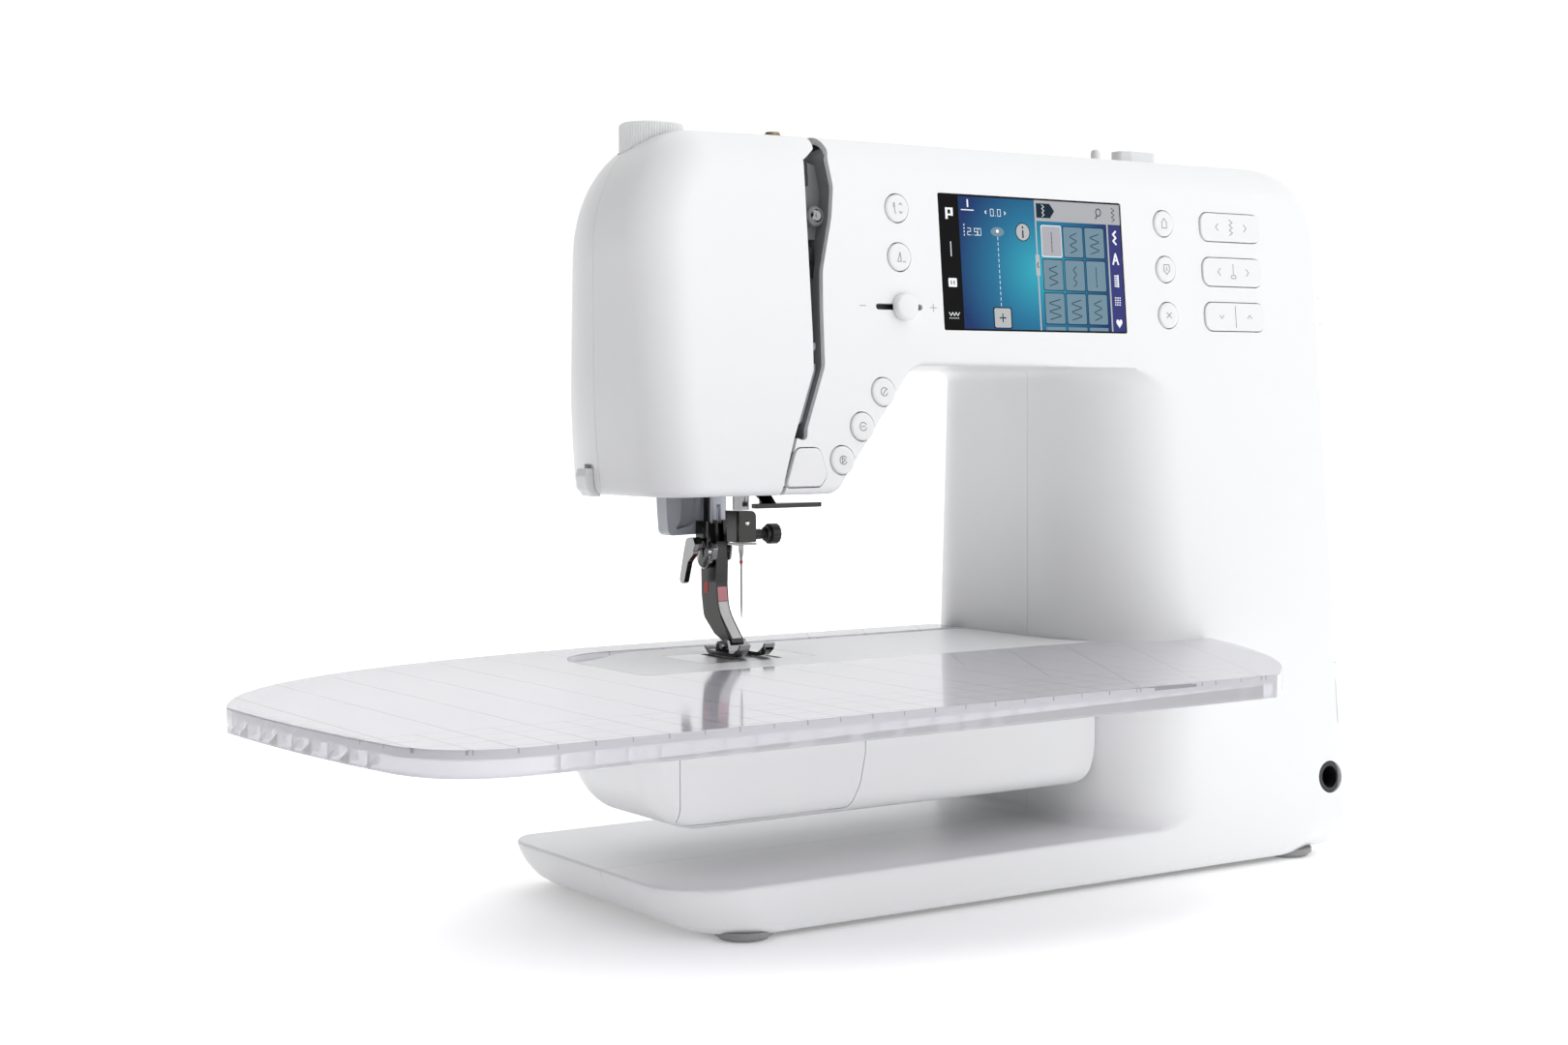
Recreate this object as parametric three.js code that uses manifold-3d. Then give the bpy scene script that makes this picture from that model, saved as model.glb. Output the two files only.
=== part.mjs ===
// Free-arm sewing machine with a slide-on extension table.
// Millimetres, +Z up, X along the machine's length (needle end at -X), Y towards its back.
// The origin is the centre of the whole machine's footprint, on the surface that it stands on.
import * as THREE from 'three';
import { mergeVertices } from 'three/addons/utils/BufferGeometryUtils.js';
import Module from 'manifold-3d';

const wasm = await Module();
wasm.setup();

// Housing
const WALL = 2.5;
const GAP = 0.3;
const HEAD_LEFT = -107;
const BODY_RIGHT = 237;
const BODY_TOP = 301;
const HEAD_BOTTOM = 164;
const ARM_BOTTOM = 213;
const HEAD_ROUND = { x: 30, z: 46 };
const TOP_RIGHT_RADIUS = 32;
const LOW_RIGHT_RADIUS = 14;
const COLUMN_STEP = 0.15; // the column stands this far inside the arm above it and the base below it
const COLUMN_LEFT = 104;
const BASE_LEFT = -106;
const BASE_TOP = 21;
const BASE_BOTTOM = 4;
const SEAM_Y = 43;

// The front face leans back and the rear face leans forward. Both are placed at the panel height.
const PANEL_Z = 281;
const FRONT_Y = 5;
const BACK_Y = 119;
const FRONT_LEAN = 0.0883;
const BACK_LEAN = 0.047;
const PANEL_ANGLE = Math.atan(FRONT_LEAN);
const FAR = 400;

// Free arm, stitch plate and extension table
const ARM_FRONT = 5;
const ARM_BACK = 87;
const ARM_UNDERSIDE = 39;
const ARM_TOP = 98.6;
const ARM_END_RADIUS = 26;
const PLATE = { left: -67, right: -16, front: 28, back: 62, thick: 2 };
const TABLE = { left: -266, front: -132, back: 108, top: 99, sheet: 3.2, rim: 8.5, rimWidth: 4 };

// Needle, presser bar and the shafts
const NEEDLE = { x: -40.2, y: 45, tip: 112.8 };
const PRESSER_Y = 65;
const SHAFT = { y: 43, z: 235, radius: 6 };
const LOWER_SHAFT = { y: 74, z: 70, radius: 4.5 };
const MOTOR = { y: 80, z: 150, radius: 22 };
const WHEEL = { radius: 24, inner: 239.5, outer: 266 };
const SHAFT_PULLEY = 26;
const MOTOR_PULLEY = 9;
const PULLEY_X = [206, 214];
const HOOK = { x: -40.2, z: 70, radius: 18 };
const THREADER_Y = [47.6, 56.4];

// Front panel: places are [x, z] on the front face
const SCREEN = { left: 27, right: 122, top: 281, bottom: 227.3 };
const BUTTON_RADIUS = 5.5;
const BUTTON_PROUD = 0.8;
const ROUND_BUTTONS = {
  needle_stop_button: [6.3, 274.1],
  securing_button: [6.3, 255.1],
  pattern_end_button: [-4.7, 202.7],
  pattern_start_button: [-15.5, 189.4],
  start_stop_button: [-25.6, 176.7],
  home_button: [145.6, 273.7],
  help_button: [145.6, 254.4],
  clear_button: [145.6, 235],
};
const ROCKERS = { width_rocker: 273.4, position_rocker: 254.2, length_rocker: 235 };
const ROCKER_SIZE = { left: 166.6, right: 201.7, high: 12 };
const SPEED_SLOT = { left: -6, right: 16.4, z: 235.7, high: 2.4 };
const SPEED_KNOB_X = 7;
const SLOT_LEFT = [[-36.2, 306], [-36.2, 224], [-36.6, 211], [-46.9, 185.6], [-54.1, 164.5], [-60, 150]];
const SLOT_RIGHT = [[-41.3, 184], [-40.7, 189], [-31.3, 212.4], [-30.8, 234], [-30, 249], [-24.7, 269.3],
  [-23.2, 281], [-25.2, 291.7], [-30.6, 297.4], [-30.6, 306]];
const REVERSE_OUTLINE = [[-52.2, 167], [-46.4, 181.5, 2], [-36, 181.5, 3], [-33, 171, 2], [-36.6, 167, 2]];
const FOOT_PLACES = [[-73, -7], [210, -6], [-73, 110], [210, 112]];

const COLOURS = {
  white: [0xe9eaeb, 0.35, 0],
  grey: [0x6f7276, 0.5, 0],
  lightGrey: [0xb9bdc4, 0.45, 0],
  black: [0x17181a, 0.45, 0],
  rubber: [0x55585b, 0.8, 0],
  clear: [0xe4e3ee, 0.1, 0],
  steel: [0xb8babd, 0.25, 1],
  chrome: [0xd5d7da, 0.1, 1],
  casting: [0x9da0a3, 0.55, 0.9],
  glass: [0x10243c, 0.1, 0],
};

const machine = new THREE.Group();
const panel = new THREE.Group();
panel.position.set(0, FRONT_Y, PANEL_Z);
panel.rotation.x = -PANEL_ANGLE;
panel.updateMatrix();
machine.add(panel);

// ---------- helpers ----------

function addMesh(name, geometry, colour, parent = machine) {
  const [color, roughness, metalness] = COLOURS[colour];
  const mesh = new THREE.Mesh(geometry, new THREE.MeshStandardMaterial({ color, roughness, metalness }));
  mesh.name = name;
  parent.add(mesh);
  return mesh;
}

function solid(geometry) {
  geometry.deleteAttribute('normal');
  geometry.deleteAttribute('uv');
  const merged = mergeVertices(geometry, 1e-4);
  return new wasm.Manifold(new wasm.Mesh({
    numProp: 3,
    vertProperties: new Float32Array(merged.attributes.position.array),
    triVerts: new Uint32Array(merged.index.array),
  }));
}

function toGeometry(manifold) {
  const mesh = manifold.getMesh();
  const geometry = new THREE.BufferGeometry();
  geometry.setAttribute('position', new THREE.BufferAttribute(new Float32Array(mesh.vertProperties), 3));
  geometry.setIndex(new THREE.BufferAttribute(new Uint32Array(mesh.triVerts), 1));
  return geometry;
}

const join = (...solids) => solids.reduce((all, next) => all.add(next));
const cut = (body, ...tools) => tools.reduce((rest, tool) => rest.subtract(tool), body);

// A closed outline whose corners are [x, y] or [x, y, radius].
function outline(corners) {
  const shape = new THREE.Shape();
  corners.forEach(([x, y, radius = 0], i) => {
    const corner = new THREE.Vector2(x, y);
    const [lastX, lastY] = corners.at(i - 1);
    const [nextX, nextY] = corners[(i + 1) % corners.length];
    const back = new THREE.Vector2(lastX, lastY).sub(corner).normalize();
    const on = new THREE.Vector2(nextX, nextY).sub(corner).normalize();
    const reach = radius / Math.tan(Math.acos(THREE.MathUtils.clamp(back.dot(on), -1, 1)) / 2);
    const start = corner.clone().addScaledVector(back, reach);
    const end = corner.clone().addScaledVector(on, reach);
    if (i === 0) shape.moveTo(start.x, start.y);
    else shape.lineTo(start.x, start.y);
    if (radius > 0) shape.quadraticCurveTo(x, y, end.x, end.y);
  });
  return shape;
}

const rectangle = (x0, x1, y0, y1, radius = 0) =>
  outline([[x0, y0, radius], [x1, y0, radius], [x1, y1, radius], [x0, y1, radius]]);

// Prisms: a shape drawn in the two other axes is pushed along the named one.
function prismZ(shape, z0, z1, curveSegments = 5) {
  return new THREE.ExtrudeGeometry(shape, { depth: z1 - z0, bevelEnabled: false, curveSegments })
    .translate(0, 0, z0);
}

function prismY(shape, y0, y1, curveSegments = 5) {
  return prismZ(shape, -y1, -y0, curveSegments).rotateX(Math.PI / 2);
}

function prismX(shape, x0, x1, curveSegments = 5) {
  const turn = new THREE.Matrix4().makeBasis(
    new THREE.Vector3(0, 1, 0), new THREE.Vector3(0, 0, 1), new THREE.Vector3(1, 0, 0));
  return prismZ(shape, x0, x1, curveSegments).applyMatrix4(turn);
}

function box(x0, x1, y0, y1, z0, z1) {
  return new THREE.BoxGeometry(x1 - x0, y1 - y0, z1 - z0)
    .translate((x0 + x1) / 2, (y0 + y1) / 2, (z0 + z1) / 2);
}

const barX = (r, x0, x1, y, z, sides = 16) =>
  new THREE.CylinderGeometry(r, r, x1 - x0, sides).rotateZ(Math.PI / 2).translate((x0 + x1) / 2, y, z);
const barY = (r, y0, y1, x, z, sides = 16) =>
  new THREE.CylinderGeometry(r, r, y1 - y0, sides).translate(x, (y0 + y1) / 2, z);
const barZ = (r, z0, z1, x, y, sides = 16) =>
  new THREE.CylinderGeometry(r, r, z1 - z0, sides).rotateX(Math.PI / 2).translate(x, y, (z0 + z1) / 2);

// A turned piece about Z: the profile is [radius, height] pairs that start and end on the axis.
const turned = (profile, sides = 20) =>
  new THREE.LatheGeometry(profile.map(([r, h]) => new THREE.Vector2(r, h)), sides).rotateX(Math.PI / 2);

// Height on the front face as a distance from the panel group's origin, along the face.
const upPanel = (z) => (z - PANEL_Z) / Math.cos(PANEL_ANGLE);
const frontAt = (z) => FRONT_Y + FRONT_LEAN * (z - PANEL_Z);

// A prism through the front face, from depth y0 to y1 behind it, placed in the machine's frame.
function panelCutter(shape, y0, y1) {
  return solid(prismY(shape, y0, y1).applyMatrix4(panel.matrix));
}

// Leans an upright prism's front back and its rear forward.
function taper(geometry) {
  const place = geometry.attributes.position;
  for (let i = 0; i < place.count; i += 1) {
    const depth = (place.getY(i) - FRONT_Y) / (BACK_Y - FRONT_Y);
    const slope = FRONT_LEAN * (1 - depth) - BACK_LEAN * depth;
    place.setY(i, place.getY(i) + slope * (place.getZ(i) - PANEL_Z));
  }
  return geometry;
}

// ---------- housing ----------

// Head and arm seen from the front: elliptical shoulder at the needle end, sloping cheek below.
function upperProfile(inset) {
  const shape = new THREE.Shape();
  const shoulder = BODY_TOP - HEAD_ROUND.z;
  shape.moveTo(HEAD_LEFT + 3 + inset, HEAD_BOTTOM + inset);
  shape.lineTo(-28.2 - inset * 0.6, HEAD_BOTTOM + inset);
  shape.lineTo(11 - inset * 0.6, ARM_BOTTOM + inset);
  shape.lineTo(BODY_RIGHT - inset, ARM_BOTTOM + inset);
  shape.lineTo(BODY_RIGHT - inset, BODY_TOP - TOP_RIGHT_RADIUS);
  shape.absarc(BODY_RIGHT - TOP_RIGHT_RADIUS, BODY_TOP - TOP_RIGHT_RADIUS,
    TOP_RIGHT_RADIUS - inset, 0, Math.PI / 2, false);
  shape.absellipse(HEAD_LEFT + HEAD_ROUND.x, shoulder,
    HEAD_ROUND.x - inset, HEAD_ROUND.z - inset, Math.PI / 2, Math.PI, false, 0);
  return shape;
}

function upperBody(inset) {
  const plan = outline([[HEAD_LEFT + inset, FRONT_Y + inset, 18], [BODY_RIGHT - inset, FRONT_Y + inset, 10],
    [BODY_RIGHT - inset, BACK_Y - inset, 20], [HEAD_LEFT + inset, BACK_Y - inset, 82]]);
  return solid(prismY(upperProfile(inset), -FAR, FAR, 7)).intersect(solid(taper(prismZ(plan, 100, 310))));
}

function columnBody(inset) {
  const plan = outline([[COLUMN_LEFT + inset, FRONT_Y + inset, 44], [BODY_RIGHT - inset, FRONT_Y + inset, 10],
    [BODY_RIGHT - inset, BACK_Y - inset, 20], [COLUMN_LEFT + inset, BACK_Y - inset, 35]]);
  const side = outline([[0, BASE_BOTTOM + inset], [BODY_RIGHT - inset, BASE_BOTTOM + inset, LOW_RIGHT_RADIUS - inset],
    [BODY_RIGHT - inset, 240], [0, 240]]);
  return solid(taper(prismZ(plan, BASE_BOTTOM, 240))).intersect(solid(prismY(side, -FAR, FAR)));
}

// The base's left end rises like a boat's bow.
function baseBody(inset) {
  const plan = outline([[BASE_LEFT + inset, FRONT_Y + inset, 30], [BODY_RIGHT - inset, FRONT_Y + inset, 10],
    [BODY_RIGHT - inset, BACK_Y - inset, 20], [BASE_LEFT + inset, BACK_Y - inset, 25]]);
  const side = outline([[BASE_LEFT + 16 + inset, BASE_BOTTOM + inset, 3],
    [BODY_RIGHT - inset, BASE_BOTTOM + inset, LOW_RIGHT_RADIUS - inset], [BODY_RIGHT - inset, BASE_TOP - inset],
    [BASE_LEFT + inset, BASE_TOP - inset], [BASE_LEFT + 4 + inset, 12]]);
  return solid(taper(prismZ(plan, BASE_BOTTOM, BASE_TOP))).intersect(solid(prismY(side, -FAR, FAR)));
}

const body = (inset) => join(upperBody(inset), columnBody(inset + COLUMN_STEP), baseBody(inset));

const faceShape = (corners) => outline(corners.map(([x, z, r]) => [x, upPanel(z), r]));
const slotShape = () => faceShape([...SLOT_LEFT.slice(0, 4), ...SLOT_RIGHT]);
const coverShape = () => faceShape([...SLOT_LEFT, [-160, 150], [-160, 330], [-36.2, 330]]);
const roundShape = (x, z, r) => new THREE.Shape().absarc(x, upPanel(z), r, 0, 2 * Math.PI, false);
const rockerShape = (z, grow) => rectangle(ROCKER_SIZE.left - grow, ROCKER_SIZE.right + grow,
  upPanel(z) - ROCKER_SIZE.high / 2 - grow, upPanel(z) + ROCKER_SIZE.high / 2 + grow, 3.5);

function frontOpenings() {
  const screen = rectangle(SCREEN.left - GAP, SCREEN.right + GAP,
    upPanel(SCREEN.bottom) - GAP, upPanel(SCREEN.top) + GAP);
  const speed = rectangle(SPEED_SLOT.left, SPEED_SLOT.right,
    upPanel(SPEED_SLOT.z) - SPEED_SLOT.high / 2, upPanel(SPEED_SLOT.z) + SPEED_SLOT.high / 2);
  const reverse = outline(REVERSE_OUTLINE.map(([x, z, r]) => [x + (x < -42 ? -0.5 : 0.5), upPanel(z < 170
    ? z - 0.5 : z + 0.5), r]));
  const rounds = Object.values(ROUND_BUTTONS).map(([x, z]) => roundShape(x, z, BUTTON_RADIUS + GAP));
  const rockers = Object.values(ROCKERS).map((z) => rockerShape(z, 0.5));
  return [screen, speed, reverse, ...rounds, ...rockers].map((shape) => panelCutter(shape, -6, 7));
}

const OPENINGS = {
  mechanism: [-72, -14, 22, 106, 150, 168],
  freeArm: [100, 110, 14, 80, 46, 90],
  inlet: [230, 240, 88, 112, 36, 54],
  powerSwitch: [230, 240, 88, 108, 62, 82],
  lamp: [70, 92, 6, 16, 210, 217],
  threader: [-112, -98, ...THREADER_Y, 150, 175.6],
  winderLever: [172, 198, 60, 70, 290, 310],
};
const SPOOL_TROUGH = [15, 140, 80, 104, 276, 310];
const TOP_FITTINGS = { dial: [-80, 45, 12.4], guide: [-11.5, 65, 2.6], spindle: [161, 65, 3.5] };

function buildHousings() {
  const floorOpening = solid(prismZ(rectangle(BASE_LEFT + 24, BODY_RIGHT - 16, -12, 124, 12), 0, 8));
  const trough = SPOOL_TROUGH;
  const troughShell = cut(
    solid(box(trough[0] - WALL, trough[1] + WALL, trough[2] - WALL, trough[3] + WALL, trough[4] - WALL, 299)),
    solid(box(...trough)));
  const windows = [
    ...Object.values(OPENINGS).map((sides) => solid(box(...sides))),
    ...Object.values(TOP_FITTINGS).map(([x, y, r]) => solid(barZ(r + 0.5, 270, 310, x, y, 24))),
  ];
  const shaftHole = solid(barX(SHAFT.radius + 2, 230, 240, SHAFT.y, SHAFT.z));
  const hollow = body(WALL);
  const shell = join(cut(body(0), hollow, solid(box(...trough))), troughShell);
  const cutShell = cut(shell, floorOpening, shaftHole, ...windows);
  const front = cutShell.intersect(solid(box(-FAR, FAR, -FAR, SEAM_Y - GAP / 2, 0, FAR)));
  const rear = cutShell.intersect(solid(box(-FAR, FAR, SEAM_Y + GAP / 2, FAR, 0, FAR)));
  const kneeHole = solid(barY(7, -30, 0, 226, 34.2));
  const coverZone = panelCutter(coverShape(), -12, 60);
  const coverGap = panelCutter(faceShape([...SLOT_LEFT, [-59.4, 150], [-53.7, 164.5], [-46.5, 185.6],
    [-36.2, 211], [-35.8, 224], [-35.8, 306]]), -12, 60);
  const cover = front.intersect(coverZone);
  const main = cut(front, coverZone, coverGap, kneeHole, panelCutter(slotShape(), -12, 60), ...frontOpenings());
  addMesh('head_cover', toGeometry(cover), 'white');
  addMesh('front_housing', toGeometry(main), 'white');
  addMesh('rear_housing', toGeometry(rear), 'white');
  const plate = prismZ(rectangle(BASE_LEFT + 24.4, BODY_RIGHT - 16.4, -11.6, 123.6, 12), BASE_BOTTOM, 7.5);
  addMesh('base_plate', plate, 'grey');
}

// ---------- free arm ----------

function armBody(inset, right) {
  const side = outline([[HEAD_LEFT + 1 + inset, ARM_UNDERSIDE + inset, ARM_END_RADIUS],
    [right, ARM_UNDERSIDE + inset], [right, ARM_TOP - inset], [HEAD_LEFT + inset, ARM_TOP - inset, 3]]);
  const plan = outline([[HEAD_LEFT + inset, ARM_FRONT + inset, 10], [right, ARM_FRONT + inset],
    [right, ARM_BACK - inset], [HEAD_LEFT + inset, ARM_BACK - inset, 14]]);
  return solid(prismY(side, -FAR, FAR, 8)).intersect(solid(prismZ(plan, 0, 200)));
}

function buildFreeArm() {
  const right = COLUMN_LEFT - GAP;
  const shell = cut(armBody(0, right), armBody(WALL, right + 1));
  const plateHole = solid(box(PLATE.left - GAP, PLATE.right + GAP, PLATE.front - GAP, PLATE.back + GAP, 90, 100));
  const doorHole = solid(box(-93, -10, 0, 9, 42, 94));
  const doorSolid = solid(box(-92.6, -10.4, 0, 8.6, 42.4, 93.6));
  addMesh('free_arm_cover', toGeometry(cut(shell, plateHole, doorHole)), 'white');
  addMesh('bobbin_door', toGeometry(shell.intersect(doorSolid)), 'white');

  const plate = solid(box(PLATE.left, PLATE.right, PLATE.front, PLATE.back, ARM_TOP - PLATE.thick, ARM_TOP));
  const needleHole = solid(box(NEEDLE.x - 4.5, NEEDLE.x + 4.5, NEEDLE.y - 1, NEEDLE.y + 1, 90, 100));
  const slots = [-8.5, 8.5].map((dx) => solid(box(NEEDLE.x + dx - 2, NEEDLE.x + dx + 2, 31, 60, 90, 100)));
  addMesh('stitch_plate', toGeometry(cut(plate, needleHole, ...slots)), 'steel');

  const bars = [-8.5, 8.5].map((dx) => solid(box(NEEDLE.x + dx - 1.5, NEEDLE.x + dx + 1.5, 35, 57, 92, 98.3)));
  const bridge = solid(box(NEEDLE.x - 10, NEEDLE.x + 10, 50, 57, 91, 95.5));
  addMesh('feed_dog', toGeometry(join(bridge, ...bars)), 'steel');
}

// The table is a thin clear sheet with a deeper rim, cut out round the free arm and the column.
function tableOutline(inset) {
  const shape = new THREE.Shape();
  const { left, front, back } = TABLE;
  shape.moveTo(157 - inset, -13);
  shape.quadraticCurveTo(131 - inset, -91 + inset, 82, -126 + inset);
  shape.lineTo(-222, front + inset);
  shape.quadraticCurveTo(-252 + inset, front + inset, -257 + inset, -104);
  shape.quadraticCurveTo(left + inset, -50, left + inset, 5);
  shape.quadraticCurveTo(-236 + inset, 100 - inset, -60, back - inset);
  shape.lineTo(COLUMN_LEFT - 1, back - inset);
  shape.lineTo(COLUMN_LEFT - 1, ARM_BACK + 0.8);
  shape.lineTo(HEAD_LEFT - 0.8, ARM_BACK + 0.8);
  shape.lineTo(HEAD_LEFT - 0.8, ARM_FRONT - 0.8);
  shape.lineTo(112, ARM_FRONT - 0.8);
  shape.quadraticCurveTo(122, -12, 140, -13);
  return shape;
}

function buildTable() {
  const sheetBottom = TABLE.top - TABLE.sheet;
  const whole = solid(prismZ(tableOutline(0), TABLE.top - TABLE.rim, TABLE.top, 10));
  const below = solid(prismZ(tableOutline(TABLE.rimWidth), TABLE.top - TABLE.rim - 1, sheetBottom, 10));
  const openFront = solid(box(-150, 200, -14, 4.3, 80, sheetBottom));
  addMesh('extension_table', toGeometry(cut(whole, below, openFront)), 'clear');
}

// ---------- frame, motor and shafts ----------

function buildFrame() {
  const beam = solid(box(-66, 200, 62, 76, 242, 272));
  const headWall = solid(box(-68, -50, 34, 76, 172, 284));
  const bracket = (z) => solid(box(-51, -35.2, 36, 74, z, z + 10));
  const bearing = (x) => solid(box(x, x + 16, 30, 72, 224, 250));
  const columnWall = solid(box(110, 136, 48, 76, 10, 272));
  const lowerArm = solid(box(-66, 126, 66, 79, 47, 58));
  const lowerBearing = solid(box(-14, -2, 62, 79, 48, 84));
  const foot = solid(box(118, 215, 16, 102, 8.5, 26));
  const motorPost = solid(box(140, 150, 52, 108, 10, 180));
  const holes = [
    solid(barX(SHAFT.radius + 0.4, -30, 260, SHAFT.y, SHAFT.z)),
    solid(barX(LOWER_SHAFT.radius + 0.4, -30, 260, LOWER_SHAFT.y, LOWER_SHAFT.z)),
    solid(barZ(3.6, 160, 290, NEEDLE.x, NEEDLE.y)),
    solid(barZ(3.6, 160, 290, NEEDLE.x, PRESSER_Y)),
  ];
  const frame = join(beam, headWall, bracket(173), bracket(270), bearing(-4), bearing(176), columnWall,
    lowerArm, lowerBearing, foot, motorPost);
  addMesh('cast_frame', toGeometry(cut(frame, ...holes)), 'casting');
}

function beltLoop(grow) {
  const run = new THREE.Vector2(MOTOR.y - SHAFT.y, MOTOR.z - SHAFT.z);
  const along = run.angle();
  const spread = Math.acos((SHAFT_PULLEY - MOTOR_PULLEY) / run.length());
  const shape = new THREE.Shape();
  shape.absarc(SHAFT.y, SHAFT.z, SHAFT_PULLEY + grow, along + spread, along - spread + 2 * Math.PI, false);
  shape.absarc(MOTOR.y, MOTOR.z, MOTOR_PULLEY + grow, along - spread, along + spread, false);
  return shape;
}

function buildDrive() {
  const [pulleyLeft, pulleyRight] = PULLEY_X;
  const shaft = join(
    solid(barX(SHAFT.radius, -22, WHEEL.inner - GAP, SHAFT.y, SHAFT.z)),
    solid(barX(15, -27, -21, SHAFT.y, SHAFT.z, 20)),
    solid(barX(SHAFT_PULLEY, pulleyLeft, pulleyRight, SHAFT.y, SHAFT.z, 24)));
  addMesh('main_shaft', toGeometry(shaft), 'steel');

  const wheel = turned([[0, 0], [WHEEL.radius - 4, 0], [WHEEL.radius, 4], [WHEEL.radius, 17],
    [WHEEL.radius - 2.5, 23.5], [WHEEL.radius - 9, 26.5], [0, 26.5]], 28);
  const handwheel = addMesh('handwheel', wheel, 'white');
  handwheel.rotation.y = Math.PI / 2;
  handwheel.position.set(WHEEL.inner, SHAFT.y, SHAFT.z);

  addMesh('main_motor', barX(MOTOR.radius, 151, 200, MOTOR.y, MOTOR.z, 20), 'black');
  const pulley = solid(barX(MOTOR_PULLEY, pulleyLeft, pulleyRight, MOTOR.y, MOTOR.z));
  const spindle = solid(barX(2.5, 200.5, pulleyLeft + 1, MOTOR.y, MOTOR.z, 10));
  addMesh('motor_pulley', toGeometry(join(pulley, spindle)), 'steel');
  const belt = cut(solid(prismX(beltLoop(2.2), pulleyLeft + 1, pulleyRight - 1, 10)),
    solid(prismX(beltLoop(0.5), pulleyLeft, pulleyRight, 10)));
  addMesh('drive_belt', toGeometry(belt), 'black');

  const lowerShaft = join(
    solid(barX(LOWER_SHAFT.radius, -24, 200, LOWER_SHAFT.y, LOWER_SHAFT.z)),
    solid(barX(8, -24, -18, LOWER_SHAFT.y, LOWER_SHAFT.z)));
  addMesh('lower_shaft', toGeometry(lowerShaft), 'steel');
  const cup = cut(solid(barY(HOOK.radius, 47.5, 60, HOOK.x, HOOK.z, 24)),
    solid(barY(HOOK.radius - 3, 40, 57, HOOK.x, HOOK.z, 24)));
  const hookGear = solid(barY(11, 59, 64, HOOK.x, HOOK.z));
  addMesh('sewing_hook', toGeometry(join(cup, hookGear)), 'steel');
  const caseCup = solid(barY(12.5, 22, 43.5, HOOK.x, HOOK.z, 20));
  addMesh('bobbin_case', toGeometry(caseCup), 'chrome');
}

// ---------- needle, take-up and presser foot ----------

function buildNeedleGroup() {
  const { x, y, tip } = NEEDLE;
  addMesh('needle_bar', barZ(3.25, 156.6, 286, x, y), 'chrome');
  const clamp = join(solid(box(x - 4.6, x + 4, y - 5, y + 4.5, 149.5, 156.3)),
    solid(box(x - 4.6, x + 4, y - 5, y + 1.2, 143.8, 150)));
  addMesh('needle_clamp', toGeometry(clamp), 'grey');
  const screw = join(solid(barX(1.9, x + 4.3, x + 11.5, y, 146.7)), solid(barX(4.1, x + 11, x + 17.6, y, 146.7)));
  addMesh('needle_screw', toGeometry(screw), 'black');
  const needle = addMesh('needle', turned([[0, 0], [0.25, 2.5], [0.45, 8], [0.45, 22], [1, 25], [1, 30.7],
    [0, 30.7]], 10), 'chrome');
  needle.position.set(x, y, tip);

  const lever = outline([[54, 258, 1], [60, 258, 3], [60, 266, 3], [52, 266, 3], [12, 253, 1], [12, 248, 1]]);
  const pivot = solid(barX(2.5, -34, -29, 56, 262, 12));
  addMesh('take_up_lever', toGeometry(join(solid(prismX(lever, -34, -32)), pivot)), 'chrome');
}

function buildPresser() {
  const { x } = NEEDLE;
  addMesh('presser_bar', barZ(3.2, 157, 286, x, PRESSER_Y), 'chrome');
  const shank = outline([[60, 156.6], [59, 141], [59.6, 126, 8], [58, 114, 6], [46, 104.6], [50, 102.6],
    [61, 106, 4], [69, 113, 5], [70.6, 122, 4], [71, 141], [70, 156.6]]);
  addMesh('foot_shank', prismX(shank, x - 2.8, x + 2.8, 3), 'steel');
  const sole = outline([[33, 103.6], [33.6, 102.9], [37, 98.9, 3], [57, 98.9, 2], [60, 101.5], [59.4, 102.2],
    [36, 101.6, 3], [33.8, 104.2]]);
  const solePlate = solid(prismX(sole, x - 8, x + 8, 3));
  const toeGap = solid(box(x - 3.5, x + 3.5, 30, 47.5, 97, 106));
  addMesh('foot_sole', toGeometry(cut(solePlate, toeGap)), 'steel');
  const arm = outline([[66, 144.8, 1], [70, 144.8, 1], [74.5, 126, 2], [70.3, 126, 2]]);
  const lever = join(solid(barX(2.8, x - 10.5, x - 3.2, PRESSER_Y, 142.4)), solid(prismX(arm, x - 11, x - 8.5)));
  addMesh('foot_clamp_lever', toGeometry(lever), 'chrome');
  const lifter = outline([[72, 167, 2], [77, 169, 2], [85, 163, 4], [90, 158, 2], [90, 147, 2], [84, 145.5, 2],
    [72.5, 146.5, 2], [72, 156]]);
  addMesh('foot_lifter', prismX(lifter, -57, -44.5, 3), 'lightGrey');
  const threader = outline([[-107.6, 173.9, 1], [-108.2, 171], [-107.4, 166], [-105.6, 163.2, 1], [-102, 163.2],
    [-100, 166], [-100, 173.9]]);
  addMesh('threader_lever', prismY(threader, THREADER_Y[0] + 0.6, THREADER_Y[1] - 0.6, 3), 'lightGrey');
  const guide = join(solid(box(-39, -11.3, 29, 32, 158.2, 159.4)), solid(box(-39, -32, 29, 38, 158.2, 159.4)),
    solid(box(-39, -32, 36.8, 38, 158.2, 172.8)));
  addMesh('thread_guide_arm', toGeometry(guide), 'steel');
}

// ---------- front panel ----------

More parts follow.
